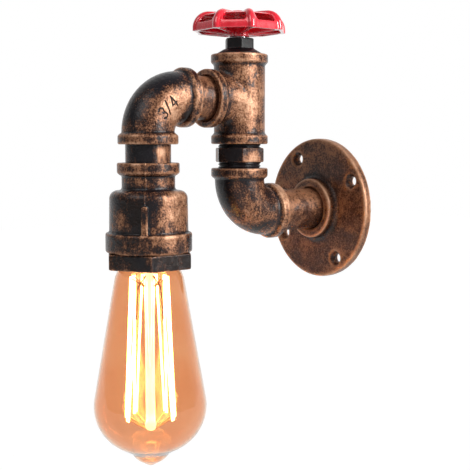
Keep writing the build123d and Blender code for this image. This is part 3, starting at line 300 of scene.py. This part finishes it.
# The level pipes are mottled, and the upright one is streaked from top to bottom.
level_finish = dry_brushed_iron("nipple_dry_brushed_steel", cover=0.66, patches=1.2, dabs=1.0, strokes=0.5,
                                specks=1.0)
upright_finish = dry_brushed_iron("drop_nipple_dry_brushed_steel", cover=0.6, patches=1.4, dabs=0.9,
                                  strokes=1.6, specks=0.7)
for pipe_name, pipe_finish, spots in (
    ("wall_nipple", level_finish, ()),
    ("branch_nipple", level_finish, ()),
    # The drop nipple's spots: partly paint, partly a painted highlight on the key light's side and painted
    # shade away from it.
    ("drop_nipple", upright_finish, ((5, -146, 36, 9, -0.8), (11, -141.5, 36, 6, -0.7),
                                     (13, -134, 36, 5, 0.9))),
):
    pipe = cast_skin(pipe_name, pipe_name + "_pipe", PIPE_GRAIN_MM, soften=2)
    spot_paint_and_light(pipe, spots)
    finish_piece(pipe, pipe_finish, pipe_name)

# ---- Hexagon nipple ------------------------------------------------------------------------------------
# A short iron nipple with a hexagon for the wrench between two pipe threads, of 14 turns to the inch. A
# turn or two of each thread shows, and no paint reaches it.
HEX_GRAIN_MM = 0.32
HEXAGON_FOOT_MM = 30.7  # heights of the hexagon's two faces
HEXAGON_TOP_MM = 39.2
THREAD_PITCH_MM = 25.4 / 14
THREAD_DEPTH_MM = 0.8
THREAD_ROOT_R_MM = 12.2  # the outer wall lies beyond it, and the bore within
THREAD_DARKNESS = 0.75


def press(piece, depth_mm, mark=None):
    """Move every vertex inwards by depth_mm along its normal; mark is how dark the place is left."""
    mesh = piece.data
    points = vertex_values(mesh, "co") - vertex_values(mesh, "normal") * (depth_mm * MM)[:, None]
    mesh.vertices.foreach_set("co", points.ravel())
    if mark is not None:
        set_attribute(mesh, "mark", mark)
    mesh.update()


# The nipple is mostly lacquer, in large dark patches. The threads are cut by a cosine of the height less
# the turn round the axis, one pitch long.
hex_finish = dry_brushed_iron("hex_nipple_dry_brushed_iron", cover=0.3, patches=1.6, dabs=1.0, strokes=0.5)
hex_nipple = cast_skin("hex_nipple", "hex_nipple_casting", HEX_GRAIN_MM, soften=2)
low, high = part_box("hex_nipple")
riser_y_mm = (low[1] + high[1]) / 2 / MM
x, y, z = vertex_values(hex_nipple.data, "co").T / MM
radius, turn = np.hypot(x, y - riser_y_mm), np.arctan2(y - riser_y_mm, x)
threaded = (radius > THREAD_ROOT_R_MM) & ((z < HEXAGON_FOOT_MM) | (z > HEXAGON_TOP_MM))
groove = 0.5 + 0.5 * np.cos(2 * np.pi * z / THREAD_PITCH_MM - turn)
press(hex_nipple, THREAD_DEPTH_MM * groove * threaded, THREAD_DARKNESS * threaded)
# These spots are partly paint and partly painted light: a highlight on the key light's side, shade turned
# from it.
spot_paint_and_light(hex_nipple, ((13.7, -67.5, 34.0, 5, 1.0), (13.7, -73.5, 32.4, 4, 0.5), (-6.9, -80.7, 35, 6, 0.8),
                        (7, -80, 35, 5, -0.5)))
finish_piece(hex_nipple, hex_finish, "hex_nipple")

# ---- Lower elbow and tee -------------------------------------------------------------------------------
# Malleable iron castings with a raised band round each mouth, screwed onto their nipples. Sand casting
# leaves every edge soft.
FITTING_GRAIN_MM = 0.45
# Coarse grit and firm rubbing give the eye stippled copper on every band, dark creases that also paint in
# the shade that falls in them, and walls that run from copper brown to near-black.
fitting_finish = dry_brushed_iron("fitting_dry_brushed_iron", cover=0.62, specks=2.0, rub_and_crease_shade=1.4)
# Each fitting's spots are partly paint and partly painted light: highlights on the key light's side, shade on
# the side turned from it.
for fitting_name, spots in (
    ("lower_elbow", ((0.6, -82.5, 11, 10, -0.8), (11.7, -55.7, 12.4, 5, -0.7), (11, -60, -8, 5, -0.4),
                     (12.6, -74, 8, 7, 0.1))),
    ("tee", ((6.9, -82.7, 87, 5, -0.3), (8, -82, 53, 5, -0.4), (4.5, -85.4, 44, 6, -0.7),
             (15, -72.6, 85, 8, 0.3), (15.3, -71, 61.6, 9, 0.3), (14.6, -79.7, 70, 6, 0.2),
             (11, -82, 70, 8, 0.3))),
):
    fitting = cast_skin(fitting_name, fitting_name + "_casting", FITTING_GRAIN_MM)
    spot_paint_and_light(fitting, spots)
    finish_piece(fitting, fitting_finish, fitting_name)

# ---- Upper elbow ---------------------------------------------------------------------------------------
# The same iron casting as the lower elbow, with the same finish. Its nominal pipe size, three quarters of
# an inch, is cut into its cheek as two plain figures and a slash.
FIGURE_MM = 6.4  # a figure's height
STROKE_HALF_MM = 0.42
STROKE_EDGE = 1.3  # the cut is full depth up to 0.3 of the half width, and ends at 1.3 of it
CUT_MM = 0.4
SIZE_SLOPE_DEG = 43.0
SIZE_MIDDLE_MM = (-128.8, 63.2)  # y and z
SIZE_REACH_MM = 9.5
CHEEK_MM = 8.0  # the size stands on the side of the elbow beyond this x
LOBE_X = 0.24  # middle of the figure three's lobes, in figure heights as all the outlines are
LOBE_POINTS = 9


def distance_to_path(along, above, path):
    """Each point's distance to a path of straight runs, from the nearest point of the nearest run."""
    nearest = np.full(len(along), np.inf)
    for start, end in zip(path[:-1], path[1:]):
        run = end - start
        share = ((along - start[0]) * run[0] + (above - start[1]) * run[1]) / (run ** 2).sum()
        share = np.clip(share, 0, 1)
        gap = np.hypot(along - start[0] - share * run[0], above - start[1] - share * run[1])
        nearest = np.minimum(nearest, gap)
    return nearest


def lobe(start_deg, end_deg, width, middle):
    """One lobe of the figure three: an arc of an ellipse that is half a figure high."""
    turn = np.radians(np.linspace(start_deg, end_deg, LOBE_POINTS))
    return np.stack([LOBE_X + width * np.cos(turn), middle + 0.25 * np.sin(turn)], axis=1)


three = np.concatenate([lobe(150, -90, 0.24, 0.75), lobe(90, -150, 0.26, 0.25)[1:]])
slash = np.array([(0.0, -0.05), (0.42, 1.1)])
four = np.array([(0.42, 0.0), (0.42, 1.0), (0.0, 0.3), (0.56, 0.3)])
figures = ((three, -1.28), (slash, -0.55), (four, 0.12))  # each with its start from the size's middle
# The elbow's grid is refined where the figures go. A vertex is then pressed in by how near it is to the
# nearest stroke, and left dark.
elbow = cast_skin("upper_elbow", "upper_elbow_casting", FITTING_GRAIN_MM)
size_middle = np.array(SIZE_MIDDLE_MM) * MM
fine = bmesh.new()
fine.from_mesh(elbow.data)
near = [edge for edge in fine.edges
        if all(v.co.x > CHEEK_MM * MM and math.dist((v.co.y, v.co.z), size_middle) < SIZE_REACH_MM * MM
               for v in edge.verts)]
bmesh.ops.subdivide_edges(fine, edges=near, cuts=2, use_grid_fill=True)
fine.to_mesh(elbow.data)
fine.free()
x, y, z = vertex_values(elbow.data, "co").T
slope = math.radians(SIZE_SLOPE_DEG)
along = ((y - size_middle[0]) * math.cos(slope) + (z - size_middle[1]) * math.sin(slope)) / MM
above = (-(y - size_middle[0]) * math.sin(slope) + (z - size_middle[1]) * math.cos(slope)) / MM
distance = np.min([distance_to_path(along, above, (outline + (start, -0.5)) * FIGURE_MM)
                   for outline, start in figures], axis=0)
cut = np.clip(STROKE_EDGE - distance / STROKE_HALF_MM, 0, 1) * (x > CHEEK_MM * MM)
press(elbow, CUT_MM * cut, cut)
# The spots are partly paint and partly painted light: a highlight on the key light's side, shade on the side
# turned from it.
spot_paint_and_light(elbow, ((7, -131, 77, 9, -0.6), (0, -139, 73, 9, -0.4), (-0.5, -147, 60, 9, -0.4),
                   (5.6, -147.6, 55, 8, -0.5), (10, -122, 79, 7, -0.4), (11.2, -116.7, 58, 5, -0.5),
                   (14.8, -130, 61, 10, 0.65)))
finish_piece(elbow, fitting_finish, "upper_elbow")

# ---- Socket cup and its collar -------------------------------------------------------------------------
# Cast iron bell for the lampholder, with a rib on each side along the mould's parting line. A hexagonal
# ring of the same iron screws into its mouth.
PARTING_DEG = (-38.4, 141.6)  # the way each side of the line faces, from +X towards +Y
PARTING_MM = 0.35
PARTING_WIDTH_MM = 0.4
PARTING_PAINT = 0.25  # the line and the ribs stand proud, so they catch paint
RIB_PAINT = 0.45
RIB_TOP_Z_MM = 8.0  # the ribs end here, and only the parting line goes on
RIB_FOOT_Z_MM = -9.2  # the skirt begins
RIB_HALF_MM = 2.2
RIB_FOOT_R_MM = 23.4
OUTER_WALL_R_MM = 11.0  # the parting line is drawn beyond it, on faces that look outwards
OUTER_WALL_FACING = 0.3  # cosine of the widest angle at which a face still looks outwards
# The cup is darker than the fittings, in large dabs, and its ribs are bright. The collar is mostly bare
# glossy lacquer, with copper on its corners.
cup_finish = dry_brushed_iron("cup_dry_brushed_iron", cover=0.46, dabs=1.5, specks=1.8, rub_and_crease_shade=1.4)
collar_finish = dry_brushed_iron("collar_dry_brushed_iron", cover=0.12, rub_and_crease_shade=1.2)
cup = cast_skin("socket_cup", "socket_cup_casting", FITTING_GRAIN_MM)
low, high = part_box("drop_nipple")
lamp_y_mm = (low[1] + high[1]) / 2 / MM
x, y, z = vertex_values(cup.data, "co").T / MM
normals = vertex_values(cup.data, "normal")
line, rib = np.zeros(len(x)), np.zeros(len(x))
for parting in PARTING_DEG:
    outward = (math.cos(math.radians(parting)), math.sin(math.radians(parting)))
    aside = x * outward[1] - (y - lamp_y_mm) * outward[0]
    reach = x * outward[0] + (y - lamp_y_mm) * outward[1]
    facing = normals[:, 0] * outward[0] + normals[:, 1] * outward[1]
    on_wall = (facing > OUTER_WALL_FACING) & (reach > OUTER_WALL_R_MM) & (z > RIB_TOP_Z_MM)
    line += np.exp(-(aside / PARTING_WIDTH_MM) ** 2) * on_wall
    on_rib = (np.abs(aside) < RIB_HALF_MM) & (reach > RIB_FOOT_R_MM)
    rib += on_rib & (z < RIB_TOP_Z_MM) & (z > RIB_FOOT_Z_MM)
press(cup, -PARTING_MM * line, -PARTING_PAINT * line - RIB_PAINT * rib)
# The cup's spots are partly paint and partly painted light: a highlight on the key light's side, shade on the
# side turned from it.
spot_paint_and_light(cup, ((8, -155.2, 1, 6, 0.7), (15, -151, 3, 9, -0.8), (20, -144.5, 6, 7, -0.5),
                 (22.4, -133.4, 4, 11, 0.75), (15, -133, 21.7, 6, 0.5)))
finish_piece(cup, cup_finish, "socket_cup")
collar = cast_skin("hex_collar", "hex_collar_casting", FITTING_GRAIN_MM)
# Copper on the collar's corners nearest the key light, partly a painted highlight.
spot_paint_and_light(collar, ((21.3, -148.7, -22.5, 2.5, 0.6), (23, -128.7, -24, 4, 0.3)))
finish_piece(collar, collar_finish, "hex_collar")

# ---- Bonnet --------------------------------------------------------------------------------------------
# A hexagon-headed plug of blackened iron, screwed into the tee's top and bored for the spindle. It is
# turned and left oily.
BONNET_GRAIN_MM = 0.35
SCUFF_MM = 2.0
SCUFF_SPAN = (0.45, 0.75)
BONNET_BLACK = "#0a0a0d"
BONNET_SCUFF = "#201d1e"
NOISE_SPAN = (0.3, 0.7)  # nearly all of a noise lies in it
black_iron, shader = new_material("bonnet_black_iron")  # near-black and satin, with greyer scuffs
place = add_node(black_iron, "ShaderNodeTexCoord").outputs["Object"]
scuff = add_node(black_iron, "ShaderNodeTexNoise", {
    "Vector": place, "Scale": 1000 / SCUFF_MM, "Detail": 3.0, "Roughness": 0.7}).outputs["Fac"]
satin = add_node(black_iron, "ShaderNodeMapRange", {
    "Value": scuff, "From Min": NOISE_SPAN[0], "From Max": NOISE_SPAN[1], "To Min": 0.3, "To Max": 0.5,
}, interpolation_type="SMOOTHSTEP")
fill_inputs(black_iron, shader, {
    "Base Color": graded_colour(black_iron, scuff, SCUFF_SPAN, BONNET_BLACK, BONNET_SCUFF),
    "Roughness": satin.outputs["Result"],
    "Specular IOR Level": 0.35,
})
finish_piece(cast_skin("bonnet", "bonnet_casting", BONNET_GRAIN_MM, soften=2), black_iron, "bonnet")

# ---- Spindle -------------------------------------------------------------------------------------------
# The wheel's shaft, with its clip, its washer and the screw that holds the wheel on, is turned or stamped
# steel with bright zinc plating. Its ring is moulded rubber.
ZINC = ("#a9abae", "#c6c8ca")
RUBBER = ("#161616", "#222222")
PLAIN_RELIEF_MM = 0.1


def plain_finish(name, shades, grain_mm, roughness, metallic=0.0):
    """A plain surface: grain of grain_mm varies its colour over two shades and its roughness by a fifth."""
    material, shader = new_material(name)
    place = add_node(material, "ShaderNodeTexCoord").outputs["Object"]
    grain = add_node(material, "ShaderNodeTexNoise", {
        "Vector": place, "Scale": 1000 / grain_mm, "Detail": 3.0, "Roughness": 0.6}).outputs["Fac"]
    gloss = add_node(material, "ShaderNodeMapRange", {
        "Value": grain, "From Min": NOISE_SPAN[0], "From Max": NOISE_SPAN[1],
        "To Min": roughness * 0.8, "To Max": roughness * 1.2,
    }, interpolation_type="SMOOTHSTEP")
    bump = add_node(material, "ShaderNodeBump", {
        "Height": grain, "Strength": 0.1, "Distance": PLAIN_RELIEF_MM * MM})
    fill_inputs(material, shader, {
        "Base Color": graded_colour(material, grain, NOISE_SPAN, *shades),
        "Roughness": gloss.outputs["Result"],
        "Metallic": metallic,
        "Normal": bump.outputs["Normal"],
    })
    return material


def coat(node_names, material):
    """Give CAD nodes that are shown as they are their material."""
    for node_name in node_names:
        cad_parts[node_name].data.materials.clear()
        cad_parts[node_name].data.materials.append(material)


# Zinc gives a cool, bright, faintly mottled metal, and rubber a soft matt black.
zinc_steel = plain_finish("zinc_plated_steel", ZINC, grain_mm=1.2, roughness=0.28, metallic=1.0)
black_rubber = plain_finish("oring_black_rubber", RUBBER, grain_mm=0.8, roughness=0.6)
coat(("spindle", "spindle_clip", "wheel_washer", "wheel_screw"), zinc_steel)
coat(("spindle_oring",), black_rubber)

# ---- Handwheel -----------------------------------------------------------------------------------------
# Die-cast in one piece, hollow below, with eight ribs and eight windows. It is dipped in red enamel and
# pushed onto the spindle's square.
WHEEL_GRAIN_MM = 0.35
ENAMEL_FLOW_MM = 6.0
ENAMEL_RELIEF_MM = 0.4
ENAMEL_DEEP = "#da1025"
ENAMEL_THIN = "#ff3448"
THIN_MEAN = 0.4
THIN_PROUD = 1.2  # thinness gained by each millimetre that a point stands proud
THIN_FLOW = 0.8
THIN_SPAN = (0.1, 0.9)  # thinness over which the deep red turns to the thin one
red_enamel, shader = new_material("wheel_red_enamel")  # wet gloss, a little lighter where it pulled thin
place = add_node(red_enamel, "ShaderNodeTexCoord").outputs["Object"]
proud = add_node(red_enamel, "ShaderNodeAttribute", attribute_name="proud").outputs["Fac"]
flow = add_node(red_enamel, "ShaderNodeTexNoise", {
    "Vector": place, "Scale": 1000 / ENAMEL_FLOW_MM, "Detail": 2.0, "Roughness": 0.5}).outputs["Fac"]
thinness = weighted(red_enamel, THIN_MEAN, ((proud, THIN_PROUD, 0.0), (flow, THIN_FLOW, NOISE_MIDDLE)))
gloss = add_node(red_enamel, "ShaderNodeMapRange", {
    "Value": flow, "From Min": NOISE_SPAN[0], "From Max": NOISE_SPAN[1], "To Min": 0.2, "To Max": 0.3,
}, interpolation_type="SMOOTHSTEP")
orange_peel = add_node(red_enamel, "ShaderNodeBump", {
    "Height": flow, "Strength": 0.25, "Distance": ENAMEL_RELIEF_MM * MM})
fill_inputs(red_enamel, shader, {
    "Base Color": graded_colour(red_enamel, thinness, THIN_SPAN, ENAMEL_DEEP, ENAMEL_THIN),
    "Roughness": gloss.outputs["Result"],
    "Coat Weight": 1.0,
    "Coat Roughness": 0.08,
    "Normal": orange_peel.outputs["Normal"],
})
finish_piece(cast_skin("handwheel", "handwheel_casting", WHEEL_GRAIN_MM), red_enamel, "handwheel", "wheel")

# ---- Lampholder ----------------------------------------------------------------------------------------
# A glazed ceramic body hangs in the cup from a hollow threaded rod. It carries a brass screw shell and
# two sprung contacts, pressed from sheet.
GLAZE = ("#e2ddd0", "#efebe0")
BRASS = ("#b08a3c", "#c9a352")
# The glaze is milky and wet-looking, and the brass warm and slightly dulled.
glazed_ceramic = plain_finish("holder_glazed_ceramic", GLAZE, grain_mm=5.0, roughness=0.2)
stamped_brass = plain_finish("holder_stamped_brass", BRASS, grain_mm=1.5, roughness=0.3, metallic=1.0)
coat(("holder_ceramic",), glazed_ceramic)
coat(("screw_shell", "centre_contact", "side_contact", "terminal_screws"), stamped_brass)
coat(("holder_rod", "rod_nut", "rod_lock_washer", "holder_strap", "strap_screws"), zinc_steel)

# ---- Bulb cap ------------------------------------------------------------------------------------------
# Rolled brass screw cap, crimped to the neck, with a black glass insulator and a blob of solder as its
# contact.
CAP_BRASS = ("#b9934c", "#cfae68")
BLACK_GLASS = ("#0c0b0d", "#17151a")
SOLDER = ("#9b9c9e", "#babbbd")
# The cap is pale bright gold, its insulator glossy black and its solder a dull silver.
rolled_brass = plain_finish("cap_rolled_brass", CAP_BRASS, grain_mm=1.5, roughness=0.25, metallic=1.0)
black_glass = plain_finish("cap_black_glass", BLACK_GLASS, grain_mm=2.0, roughness=0.1)
solder = plain_finish("contact_solder", SOLDER, grain_mm=1.5, roughness=0.35, metallic=1.0)
coat(("bulb_cap",), rolled_brass)
coat(("bulb_insulator",), black_glass)
coat(("bulb_contact",), solder)

# ---- Bulb envelope -------------------------------------------------------------------------------------
# Blown soda-lime glass with an amber lacquer baked on, fused to the stem's flare. It was sealed at its
# tip, which left a broad blob.
LACQUER_DRIFT_MM = 30.0
DRIFT_SPAN = (0.35, 0.65)
AMBER_THIN = "#f1c6a5"
AMBER_THICK = "#eebc97"
TIP_MM = 3.0  # height of the blob's widest place above the tip
TIP_REACH_MM = 4.0
TIP_SWELL = 0.28
amber, shader = new_material("bulb_amber_glass")  # clear, a little uneven in tint, with a bright rim
place = add_node(amber, "ShaderNodeTexCoord").outputs["Object"]
drift = add_node(amber, "ShaderNodeTexNoise", {
    "Vector": place, "Scale": 1000 / LACQUER_DRIFT_MM, "Detail": 2.0, "Roughness": 0.5}).outputs["Fac"]
fill_inputs(amber, shader, {
    "Base Color": graded_colour(amber, drift, DRIFT_SPAN, AMBER_THIN, AMBER_THICK),
    "Transmission Weight": 1.0,
    "Roughness": 0.05,
    "IOR": 1.45,
})
# The blob swells the distance from the axis by a bell curve of the height above the tip.
envelope = merged_copy("bulb_glass", "bulb_envelope")
points = vertex_values(envelope.data, "co")
rise = (points[:, 2] - points[:, 2].min()) / MM
swell = 1 + TIP_SWELL * np.exp(-((rise - TIP_MM) / TIP_REACH_MM) ** 2)
points[:, 0] *= swell
points[:, 1] = lamp_y_mm * MM + (points[:, 1] - lamp_y_mm * MM) * swell
envelope.data.vertices.foreach_set("co", points.ravel())
envelope.data.shade_smooth()
finish_piece(envelope, amber, "bulb_glass", "bulb")

# ---- Filament ------------------------------------------------------------------------------------------
# One long carbon thread, hung to and fro over the stem's hooks as a cage and joined to the lead wires at
# its ends. The current heats it until it glows white-yellow.
STRAND_GLOW = 26.0
GLOW_MM = 0.38  # a strand this bright looks thicker than it is
HEAT_MM = 12.0  # the heat along a strand is a little uneven
HOT = "#ffd27e"
HOTTER = "#ffe6a6"
hot_carbon, shader = new_material("filament_hot_carbon")  # so bright that only its edges look warm
place = add_node(hot_carbon, "ShaderNodeTexCoord").outputs["Object"]
heat = add_node(hot_carbon, "ShaderNodeTexNoise", {
    "Vector": place, "Scale": 1000 / HEAT_MM, "Detail": 1.0, "Roughness": 0.5}).outputs["Fac"]
glow = graded_colour(hot_carbon, heat, NOISE_SPAN, HOT, HOTTER)
fill_inputs(hot_carbon, shader, {
    "Base Color": glow, "Emission Color": glow, "Emission Strength": STRAND_GLOW})
filament = merged_copy("filament", "filament_strands")
press(filament, np.full(len(filament.data.vertices), -GLOW_MM))
filament.data.shade_smooth()
finish_piece(filament, hot_carbon, "filament", "bulb")

# ---- Stem and supports ---------------------------------------------------------------------------------
# The stem is clear glass rod, pressed round the two lead wires while hot. Molybdenum hooks are set into
# its top and its button, and carry the filament.
RIPPLE_MM = 5.0  # unevenness of the drawn rod
RIPPLE_SPAN = (0.35, 0.65)
STEM_DEEP = "#fff0d2"
STEM_CLEAR = "#fff6e4"
STEM_GLOW = 1.1  # the filament lights the rod from all round
LEAD_SHADE = ("#5a3020", "#7c4a30")
HOOK_LIGHT = ("#d3a071", "#f0cc9e")
stem_glass, shader = new_material("stem_lit_glass")  # pale yellow and milky with the light inside it
place = add_node(stem_glass, "ShaderNodeTexCoord").outputs["Object"]
ripple = add_node(stem_glass, "ShaderNodeTexNoise", {
    "Vector": place, "Scale": 1000 / RIPPLE_MM, "Detail": 2.0, "Roughness": 0.5}).outputs["Fac"]
lit = graded_colour(stem_glass, ripple, RIPPLE_SPAN, STEM_DEEP, STEM_CLEAR)
fill_inputs(stem_glass, shader, {
    "Base Color": lit,
    "Emission Color": lit,
    "Emission Strength": STEM_GLOW,
    "Transmission Weight": 0.7,
    "Roughness": 0.15,
})
stem = merged_copy("bulb_stem", "bulb_glass_stem")
stem.data.shade_smooth()
finish_piece(stem, stem_glass, "bulb_stem", "bulb")
# The leads and upper hooks are painted dark red-brown, the painted shade of wires seen against the glow.
# The lower hooks are painted pale, the painted light of the glow they catch.
shaded_leads = plain_finish("leads_painted_shade", LEAD_SHADE, grain_mm=1.0, roughness=0.4, metallic=0.6)
lit_hooks = plain_finish("hooks_painted_light", HOOK_LIGHT, grain_mm=1.0, roughness=0.35, metallic=0.6)
coat(("lead_wires", "upper_supports"), shaded_leads)
coat(("lower_supports",), lit_hooks)

# ---- Studio --------------------------------------------------------------------------------------------
# White room and floor, in metres. A softbox to the camera's right is the main light, a larger one above
# and to its left fills in, and the room does the rest.
CAMERA_PLACE = (0.4515, -0.4209, 0.0425)
CAMERA_AZIMUTH_DEG = 52.32
CAMERA_DOWN_DEG = 5.65
LENS_MM = 71.64
SENSOR_MM = 36.0
NEAREST = 0.01  # the camera draws nothing nearer
camera_data = bpy.data.cameras.new("camera")
camera_data.lens = LENS_MM
camera_data.sensor_width = SENSOR_MM
camera_data.clip_start = NEAREST
camera = bpy.data.objects.new("camera", camera_data)
bpy.context.scene.collection.objects.link(camera)
camera.location = CAMERA_PLACE
camera.rotation_euler = (math.radians(90 - CAMERA_DOWN_DEG), 0, math.radians(CAMERA_AZIMUTH_DEG))
bpy.context.scene.camera = camera

WHITE = "#ffffff"
ROOM_FILL = 0.14  # the light that the room itself gives the object
BACKDROP_SIDE = (-0.79, 0.61, 0.0)  # towards the backdrop, behind the object as the camera sees it
BACKDROP_SPAN = (0.0, 0.95)  # share of that direction over which a reflection brightens to white
REFLECTED_ROOM = 0.12  # what a reflection shows of the room on the other side
world = bpy.data.worlds.new("white_room")
bpy.context.scene.world = world
world.use_nodes = True


def seen_share(owner, reflected=1.0):
    """1 for rays from the camera or through glass, reflected for reflections, 0 for the rays that light."""
    path = add_node(owner, "ShaderNodeLightPath").outputs
    mirrored = add_node(owner, "ShaderNodeMath", {
        0: path["Is Glossy Ray"], 1: reflected}, operation="MULTIPLY")
    seen = add_node(owner, "ShaderNodeMath", {
        0: path["Is Camera Ray"], 1: path["Is Transmission Ray"]}, operation="MAXIMUM")
    return add_node(owner, "ShaderNodeMath", {
        0: seen.outputs["Value"], 1: mirrored.outputs["Value"]}, operation="MAXIMUM").outputs["Value"]


direction = add_node(world, "ShaderNodeTexCoord").outputs["Generated"]
facing = add_node(world, "ShaderNodeVectorMath", {0: direction, 1: BACKDROP_SIDE}, operation="DOT_PRODUCT")
backdrop = add_node(world, "ShaderNodeMapRange", {
    "Value": facing.outputs["Value"], "From Min": BACKDROP_SPAN[0], "From Max": BACKDROP_SPAN[1],
    "To Min": REFLECTED_ROOM, "To Max": 1.0,
}, interpolation_type="SMOOTHSTEP")
level = add_node(world, "ShaderNodeMapRange", {
    "Value": seen_share(world, backdrop.outputs["Result"]), "To Min": ROOM_FILL, "To Max": 1.0})
fill_inputs(world, world.node_tree.nodes["Background"], {"Color": WHITE, "Strength": level.outputs["Result"]})


def soft_light(name, place, aim, size, power):
    """Rectangular area lamp at a place, turned to face a point, with its long side upright."""
    data = bpy.data.lights.new(name, "AREA")
    data.shape = "RECTANGLE"
    data.size, data.size_y = size
    data.energy = power
    lamp = bpy.data.objects.new(name, data)
    bpy.context.scene.collection.objects.link(lamp)
    lamp.location = place
    sight = np.array(aim) - np.array(place)
    lamp.rotation_euler = (math.atan2(math.hypot(sight[0], sight[1]), -sight[2]), 0,
                           math.atan2(sight[0], -sight[1]) + math.pi)


OBJECT_MIDDLE = (0, -0.09, 0.0)
soft_light("key", place=(0.80, 0.25, 0.35), aim=OBJECT_MIDDLE, size=(0.3, 0.6), power=11.0)
soft_light("fill", place=(0.25, -0.95, 0.8), aim=OBJECT_MIDDLE, size=(0.7, 0.7), power=4.0)

FLOOR_Z = -0.9
FLOOR_HALF_WIDTH = 9
FLOOR_PAINT = "#f3f3f3"
FLOOR_WHITE = 1.16  # times its share, and with the paint's own light, this is just white to the camera
FLOOR_WHITE_SHARE = 0.85  # the rest is plain paint, which keeps the object's shadow
corners = [(x * FLOOR_HALF_WIDTH, y * FLOOR_HALF_WIDTH, FLOOR_Z)
           for x, y in ((-1, -1), (1, -1), (1, 1), (-1, 1))]
floor_data = bpy.data.meshes.new("floor")
floor_data.from_pydata(corners, [], [(0, 1, 2, 3)])
floor = bpy.data.objects.new("floor", floor_data)
bpy.context.scene.collection.objects.link(floor)
floor_paint, shader = new_material("floor_white_paint")  # matt white, with a soft shadow on it
fill_inputs(floor_paint, shader, {"Base Color": FLOOR_PAINT, "Roughness": 0.7})
white = add_node(floor_paint, "ShaderNodeEmission", {"Color": WHITE, "Strength": FLOOR_WHITE})
share = add_node(floor_paint, "ShaderNodeMath", {
    0: seen_share(floor_paint), 1: FLOOR_WHITE_SHARE}, operation="MULTIPLY")
mixed = add_node(floor_paint, "ShaderNodeMixShader", {
    "Fac": share.outputs["Value"], 1: shader.outputs["BSDF"], 2: white.outputs["Emission"]})
surface = next(n for n in floor_paint.node_tree.nodes if n.type == "OUTPUT_MATERIAL")
fill_inputs(floor_paint, surface, {"Surface": mixed.outputs["Shader"]})
floor_data.materials.append(floor_paint)

bpy.context.scene.view_settings.view_transform = "Standard"
